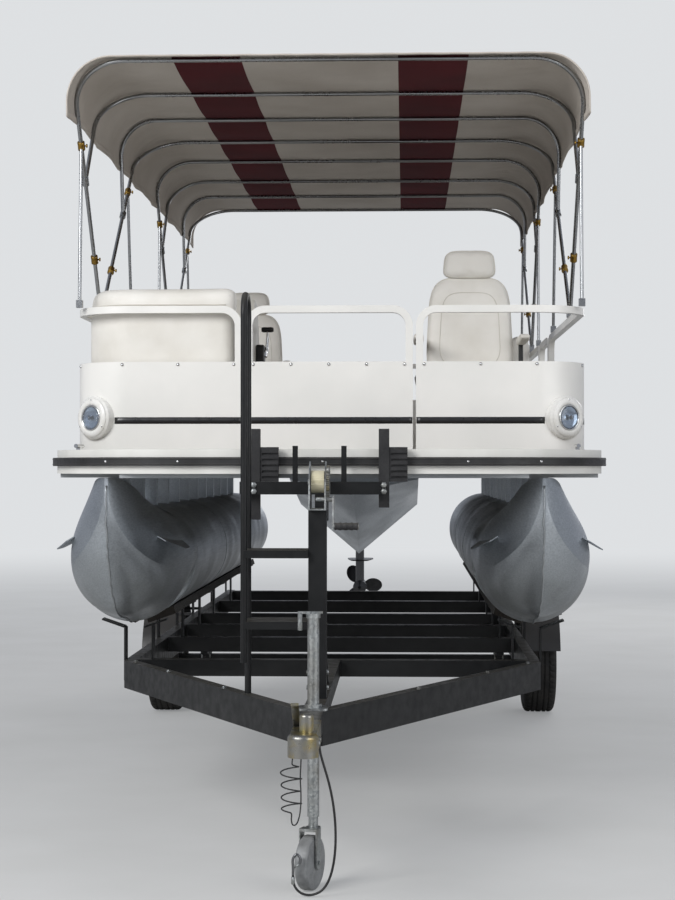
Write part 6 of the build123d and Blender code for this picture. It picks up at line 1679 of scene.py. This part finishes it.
for name, (z, radius, finish) in outboard["bands"].items():
    line = np.column_stack([cowlLine[:, 0], outboard["y"] + cowlLine[:, 1], np.full(len(cowlLine), z)])
    band = tubeAlong(name, onSurface("motor_cowl", line), radius, 8, closed=True)
    finishPiece(band, "motor", "black_plastic", finish)
grip = tubeAlong("cowlRearGrip", smoothLine(outboard["grip"], 24), outboard["gripRadius"], 12)
finishPiece(grip, "motor", "black_plastic")
# The trim ram between the clamp's arms, and the clamp's hand screws and bolts
ram = tubeAlong("trimRam", outboard["ram"], outboard["ramRadii"], 20)
finishPiece(ram, root, "motor_paint")
for side in (-1, 1):
    x, y, z = outboard["screwPlace"]
    screw = turned("clampScrew" + sideNames[side], outboard["screw"], (side * x, y, z), (0, -1, 0), 6)
    finishPiece(screw, root, "bright_metal", galvanised)
    x, y, z = outboard["boltPlace"]
    bolt = turned("clampBolt" + sideNames[side], outboard["bolt"], (side * x, y, z), (0, 1, 0), 6)
    finishPiece(bolt, root, "bright_metal", galvanised)
# The zinc block under the plate over the propeller, and the propeller's nut
anode = prism("cavitationAnode", roundedOutline(*outboard["anodeHalf"], 0.012), outboard["anodePlace"],
              (1, 0, 0), (0, 1, 0), -0.006)
finishPiece(beveled(anode, 0.002), "motor", "bright_metal", galvanised)
nut = turned("propellerNut", outboard["nut"], outboard["nutPlace"], (0, 1, 0), 6)
finishPiece(nut, "motor", "bright_metal", brass)
print("outboard detailed")


# Wheels

tyreFacts = {
    "x": 1.187, "y": 1.6825, "z": 0.330,
    # half section from bead to the middle of the tread: radius, distance from the tyre's middle
    "section": [(0.1885, 0.0795), (0.200, 0.0850), (0.222, 0.0935), (0.248, 0.0990), (0.272, 0.1003),
                (0.292, 0.0985), (0.308, 0.0935), (0.319, 0.0865), (0.3255, 0.0785), (0.3285, 0.0690),
                (0.3296, 0.0450), (0.3298, 0.0)],
    "shoulder": 8,               # the point of the section where the tread starts
    "treadRadius": 0.318,
    "widest": 0.1006,
    "grooves": (0.020, 0.050),
    "grooveWidth": 0.0075,
    "grooveDepth": 0.0075,
    "lugs": 54,
    "around": 432,
    "cutFrom": 0.052,            # cross cuts lie outside this distance from the middle
    "finePart": 0.016,           # and the narrow cuts of the middle rib inside this one
    "ribs": ((0.226, 0.002), (0.290, 0.0018)),    # radius and width of each sidewall rib
    "ribHeight": 0.0010,
}


def tyre(name, side, body):
    # the half section mirrored and turned round the axle; ring grooves and slanting cross cuts
    # take their depth off the tread's radius, and two fine ribs stand on each sidewall
    facts = tyreFacts
    half = np.array(facts["section"])
    reach = reachAlong(half)
    shoulder = reach[facts["shoulder"]]
    at = np.concatenate([np.linspace(0, shoulder, 20, endpoint=False), np.linspace(shoulder, reach[-1], 30)])
    half = pointsAt(half, reach, at)
    section = np.concatenate([half, half[::-1][1:] * np.array([1, -1])])
    radius, width = section[:, 0], section[:, 1]
    angle = fullTurn(facts["around"])[:, None]
    tread = np.clip((radius - facts["treadRadius"]) / 0.004, 0, 1)
    depth = np.zeros((facts["around"], len(section)))
    for middle in facts["grooves"]:
        near = np.abs(np.abs(width) - middle) / (facts["grooveWidth"] / 2)
        depth = np.maximum(depth, np.clip(1.6 - near, 0, 1) * np.ones_like(angle))
    phase = (angle * facts["lugs"] / (2 * math.pi) + np.abs(width) * 9.0 + 0.5 * (np.sign(width) > 0)) % 1.0
    cut = np.clip(3.2 - np.abs(phase - 0.5) * 16, 0, 1) * (np.abs(width) > facts["cutFrom"])
    depth = np.maximum(depth, cut * 0.8)
    fine = np.clip(1.5 - np.abs(((phase * 2) % 1.0) - 0.5) * 14, 0, 1) * (np.abs(width) < facts["finePart"])
    depth = np.maximum(depth, fine * 0.4)
    ribs = facts["ribHeight"] * sum(np.exp(-((radius - at) / wide) ** 2) for at, wide in facts["ribs"])
    cutRadius = radius - facts["grooveDepth"] * depth * tread
    ribbed = width + np.sign(width) * ribs * (tread == 0)
    x = side * facts["x"] + np.clip(ribbed, -facts["widest"], facts["widest"]) * np.ones_like(angle)
    y, z = facts["y"] + cutRadius * np.sin(angle), facts["z"] + cutRadius * np.cos(angle)
    points = np.stack([x, y, z], axis=-1)
    # the grid closes on itself, so that the inner face runs straight across between the beads
    faces = gridFaces(facts["around"], len(section), wrapRows=True, wrapColumns=True)
    piece = outward(meshFrom(name, points, faces))
    return finishPiece(piece, body, "tyre", tyreRubber, ("tyre_" + sideNames[side].lower(),))


wheelFacts = {
    "nuts": 5,
    "nutTurn": 18.0,         # degrees
    "nutCircle": 0.076,
    "nutX": 1.2312,
    "nut": [(0.0001, 0.0), (0.0125, 0.0), (0.0125, 0.003), (0.0105, 0.004), (0.0105, 0.013),
            (0.0075, 0.017), (0.0001, 0.018)],
    "capX": 1.2605,
    "cap": [(0.0001, 0.014), (0.020, 0.012), (0.0265, 0.006), (0.0275, 0.0), (0.031, -0.002),
            (0.031, -0.004), (0.0001, -0.004)],
    # x, distance aft of the axle
    "valve": [(1.222, 0.150), (1.236, 0.147), (1.250, 0.143), (1.254, 0.142)],
    "valveRadii": [0.0055, 0.0045, 0.0042, 0.0035],
    # rolled edges of the rim: radius, x, thickness
    "rimRings": {"_rimLip": (0.1845, 1.2665, 0.0035), "_rimStep": (0.1770, 1.237, 0.0030)},
}
for side, body in ((-1, "wheel_starboard"), (1, "wheel_port")):
    tyre("tyreTread" + sideNames[side], side, body)
    y, z = tyreFacts["y"], tyreFacts["z"]
    cap = turned(body + "_dustCap", wheelFacts["cap"], (side * wheelFacts["capX"], y, z), (side, 0, 0), 40)
    finishPiece(cap, body, "bright_metal")
    turns = np.radians(np.arange(wheelFacts["nuts"]) * 360.0 / wheelFacts["nuts"] + wheelFacts["nutTurn"])
    reach = wheelFacts["nutCircle"]
    spots = [(side * wheelFacts["nutX"], y + reach * math.sin(a), z + reach * math.cos(a)) for a in turns]
    nuts = studs(body + "_lugNuts", spots, [(side, 0, 0)] * len(spots), wheelFacts["nut"], 6)
    finishPiece(nuts, body, "bright_metal")
    valve = tubeAlong(body + "_valve", [(side * x, y + behind, z) for x, behind in wheelFacts["valve"]],
                      wheelFacts["valveRadii"], 12)
    finishPiece(valve, body, "tyre", stopRubber)
    turns = fullTurn(96)
    for name, (radius, x, thick) in wheelFacts["rimRings"].items():
        ring = [(side * x, y + radius * math.sin(a), z + radius * math.cos(a)) for a in turns]
        finishPiece(tubeAlong(body + name, ring, thick, 10, closed=True), body, "rim")
print("wheels made")


# Trailer

springs = {
    "x": 0.939,
    "axleY": 1.6825,
    "top": 0.384,
    "bottom": 0.292,
    "half": 0.036,           # half the width of a U-bolt
    "corner": 0.008,
    "rod": 0.006,
    "apart": 0.026,
    "plateHalf": (0.046, 0.058),
    "plateTop": 0.3985,
    "plateThick": 0.007,
}
for side in (-1, 1):
    for number, shift in enumerate((-springs["apart"], springs["apart"])):
        x, y = side * springs["x"] + shift, springs["axleY"]
        half, corner, top, bottom = [springs[key] for key in ("half", "corner", "top", "bottom")]
        rodHalf = [(half, top + 0.012), (half, bottom + corner), (half - corner, bottom)]
        path = [(x, y - far, z) for far, z in rodHalf] + [(x, y + far, z) for far, z in rodHalf[::-1]]
        bolt = tubeAlong("uBolt%s%d" % (sideNames[side], number), smoothLine(path, 40), springs["rod"], 10)
        finishPiece(bolt, root, "galvanised")
    plate = prism("springPlate" + sideNames[side], roundedOutline(*springs["plateHalf"], 0.008),
                  (side * springs["x"], springs["axleY"], springs["plateTop"]), (1, 0, 0), (0, 1, 0),
                  springs["plateThick"])
    finishPiece(beveled(plate, 0.0015), root, "trailer_paint")

# Hexagon bolts; distances are behind the deck's front edge
trailerBolts = {
    "coupler": (0.0445, (-1.385, -1.300), 0.622),            # x, distances, height
    "winchPost": (0.0352, -0.45, (0.70, 0.76)),              # x, distance, heights
    "railSide": 0.9652,
    "railDistances": (1.0, 2.15, 2.95, 3.75, 4.85, 5.85),
    "railHeights": (0.58, 0.62),
    "armDistances": (-0.15, 0.45, 0.85),                     # on top of the A-frame's arms
    "armEnds": ((-0.86, 0.035), (0.92, 0.935)),              # (distance, x) of an arm's two ends
    "armTop": 0.6602,
    "stopXs": (-0.277, 0.254),
    "stopY": -2.6890,
    "stopHeights": (1.459, 1.485),
    "profile": [(0.0001, 0.0), (0.013, 0.0), (0.013, 0.0018), (0.0098, 0.0022), (0.0098, 0.0075),
                (0.008, 0.0085), (0.0001, 0.0088)],
}
spots, normals = [], []
for side in (-1, 1):
    outboardSide = (side, 0, 0)
    x, distances, z = trailerBolts["coupler"]
    spots += [(side * x, aft(distance), z) for distance in distances]
    x, distance, heights = trailerBolts["winchPost"]
    spots += [(side * x, aft(distance), z) for z in heights]
    spots += [(side * trailerBolts["railSide"], aft(distance), z)
              for distance in trailerBolts["railDistances"] for z in trailerBolts["railHeights"]]
    normals += [outboardSide] * (len(spots) - len(normals))
    (first, firstX), (last, lastX) = trailerBolts["armEnds"]
    for distance in trailerBolts["armDistances"]:
        x = firstX + (lastX - firstX) * (distance - first) / (last - first)
        spots.append((side * x, aft(distance), trailerBolts["armTop"]))
        normals.append((0, 0, 1))
for x in trailerBolts["stopXs"]:
    for z in trailerBolts["stopHeights"]:
        spots.append((x, trailerBolts["stopY"], z))
        normals.append((0, -1, 0))
bolts = studs("trailerBolts", spots, normals, trailerBolts["profile"], 6)
finishPiece(bolts, root, "galvanised")

# Amber side markers in rubber surrounds
markers = {
    "places": {"Front": 1.45, "Middle": 3.35},
    "height": 0.597,
    "railSide": 0.9652,
    "baseHalf": (0.040, 0.018),
    "baseThick": 0.006,
    "lampHalf": (0.034, 0.013),
    "lampStart": 0.9710,
    "lampThick": 0.009,
}
for side in (-1, 1):
    for label, distance in markers["places"].items():
        name = sideNames[side].lower() + label
        base = prism(name + "MarkerBase", roundedOutline(*markers["baseHalf"], 0.008),
                     (side * markers["railSide"], aft(distance), markers["height"]), (0, side, 0), (0, 0, 1),
                     markers["baseThick"])
        finishPiece(beveled(base, 0.002), root, "rubber")
        lamp = prism(name + "Marker", roundedOutline(*markers["lampHalf"], 0.006),
                     (side * markers["lampStart"], aft(distance), markers["height"]), (0, side, 0), (0, 0, 1),
                     markers["lampThick"])
        finishPiece(beveled(lamp, 0.004, 3), root, "tail_light", lampAmber)

# Tail lights: a red moulded lens with flutes 9 mm apart in a rubber surround
tailLight = {
    "middle": (0.870, 3.4245, 0.5965),
    "surroundHalf": (0.094, 0.042),
    "surroundThick": 0.005,
    "half": (0.086, 0.034),
    "edge": 0.0045,          # how far the lens stands out at its rim
    "back": 0.002,
    "bulge": 0.011,
    "flutePitch": 0.009,
    "fluteDepth": 0.0010,
    "across": 89,
    "up": 25,
}


def tailLens(name, middle):
    # out = edge + bulge x (1 - u^8) x (1 - v^4)^0.5, and on it flutes of |sin| across the lens;
    # a flat back and a strip round the rim close it
    facts = tailLight
    columns, rows = facts["across"], facts["up"]
    u, v = np.meshgrid(np.linspace(-1, 1, columns), np.linspace(-1, 1, rows), indexing="ij")
    dome = (1 - u ** 8) * np.sqrt(np.clip(1 - v ** 4, 0, 1))
    halfAcross, halfUp = facts["half"]
    flutes = np.abs(np.sin(u * halfAcross / facts["flutePitch"] * math.pi))
    out = facts["edge"] + facts["bulge"] * dome + facts["fluteDepth"] * flutes * dome
    front = np.stack([middle[0] - halfAcross * u, middle[1] + out, middle[2] + halfUp * v], axis=-1)
    rear = front.copy()
    rear[..., 1] = middle[1] + facts["back"]
    faces = gridFaces(columns, rows)
    index = np.arange(columns * rows).reshape(columns, rows)
    rim = np.concatenate([index[:, 0], index[-1, 1:], index[-2::-1, -1], index[0, -2:0:-1]])
    following = np.roll(rim, -1)
    size = columns * rows
    walls = np.stack([rim, following, following + size, rim + size], axis=1)
    points = np.concatenate([front.reshape(-1, 3), rear.reshape(-1, 3)])
    return outward(meshFrom(name, points, np.concatenate([faces, faces[:, ::-1] + size, walls])))


for side in (-1, 1):
    name = sideNames[side].lower()
    x, y, z = tailLight["middle"]
    surround = prism(name + "TailSurround", roundedOutline(*tailLight["surroundHalf"], 0.010),
                     (side * x, y, z), (-1, 0, 0), (0, 0, 1), tailLight["surroundThick"])
    finishPiece(beveled(surround, 0.002), root, "rubber")
    finishPiece(tailLens(name + "TailLens", (side * x, y, z)), root, "tail_light")
print("trailer detailed")


# Winch

winch = {
    "grip": (0.0665, -3.0675, 1.328),
    "gripLength": 0.0925,
    "gripRadius": 0.0142,
    "gripEnd": 0.011,
    "gear": (0.0341, -2.9875, 1.500),
    "gearThick": 0.0118,
    "gearRadius": 0.0595,
    "toothDepth": 0.0045,
    "teeth": 26,
    "pawl": (0.0342, -3.03, 1.545),
    "pawlProfile": [(0.0001, 0.0), (0.012, 0.0), (0.012, 0.012), (0.0001, 0.013)],
    "ringMiddle": (-2.5010, 1.498),
    "ringRadius": 0.0135,
    "ringStretch": 1.35,     # the ring is wider across the strap than along it
    "ringThick": 0.0033,
    "strapStart": (-2.9415, 1.543),    # (y, z) of the strap's upper face
    "strapEnd": (-2.4978, 1.504),
    "stitches": (-2.520, -2.528, -2.575, -2.583),
    "stitchHalf": 0.0215,
    "stitchRadius": 0.0009,
}
x, y, z = winch["grip"]
share = np.linspace(0, 1, 30)
ripple = winch["gripRadius"] + 0.0012 * np.cos(share[1:-1] * 26)
line = [(x + winch["gripLength"] * far, y, z) for far in share]
grip = tubeAlong("winchGrip", line, [winch["gripEnd"], *ripple, winch["gripEnd"]], 24)
finishPiece(grip, root, "black_plastic", stopRubber)
corners = np.arange(winch["teeth"] * 4)
angle = corners * 2 * math.pi / len(corners)
radius = winch["gearRadius"] + winch["toothDepth"] * (corners % 4 < 2)
gear = prism("winchGear", np.stack([radius * np.cos(angle), radius * np.sin(angle)], axis=1), winch["gear"],
             (0, 1, 0), (0, 0, 1), winch["gearThick"])
finishPiece(gear, root, "zinc")
# The ring in the strap's stitched end, which goes through the bow eye
y, z = winch["ringMiddle"]
angle = fullTurn(48)
ring = np.stack([winch["ringRadius"] * np.sin(angle) * winch["ringStretch"],
                 y + winch["ringRadius"] * np.cos(angle), np.full(48, z)], axis=1)
strapRing = tubeAlong("strapRing", ring, winch["ringThick"], 12, closed=True)
finishPiece(strapRing, root, "bright_metal")
pawl = turned("winchPawl", winch["pawlProfile"], winch["pawl"], (1, 0, 0), 20)
finishPiece(pawl, root, "galvanised")
# Rows of thread across the strap near its end
for number, y in enumerate(winch["stitches"]):
    (startY, startZ), (endY, endZ) = winch["strapStart"], winch["strapEnd"]
    z = startZ + (y - startY) / (endY - startY) * (endZ - startZ) + 0.0002
    half = winch["stitchHalf"]
    thread = [(-half, y, z), (0.0, y, z), (half, y, z)]
    row = tubeAlong("strapStitch%d" % number, thread, winch["stitchRadius"], 6)
    finishPiece(row, root, "webbing", stripeVinyl)
print("winch made")
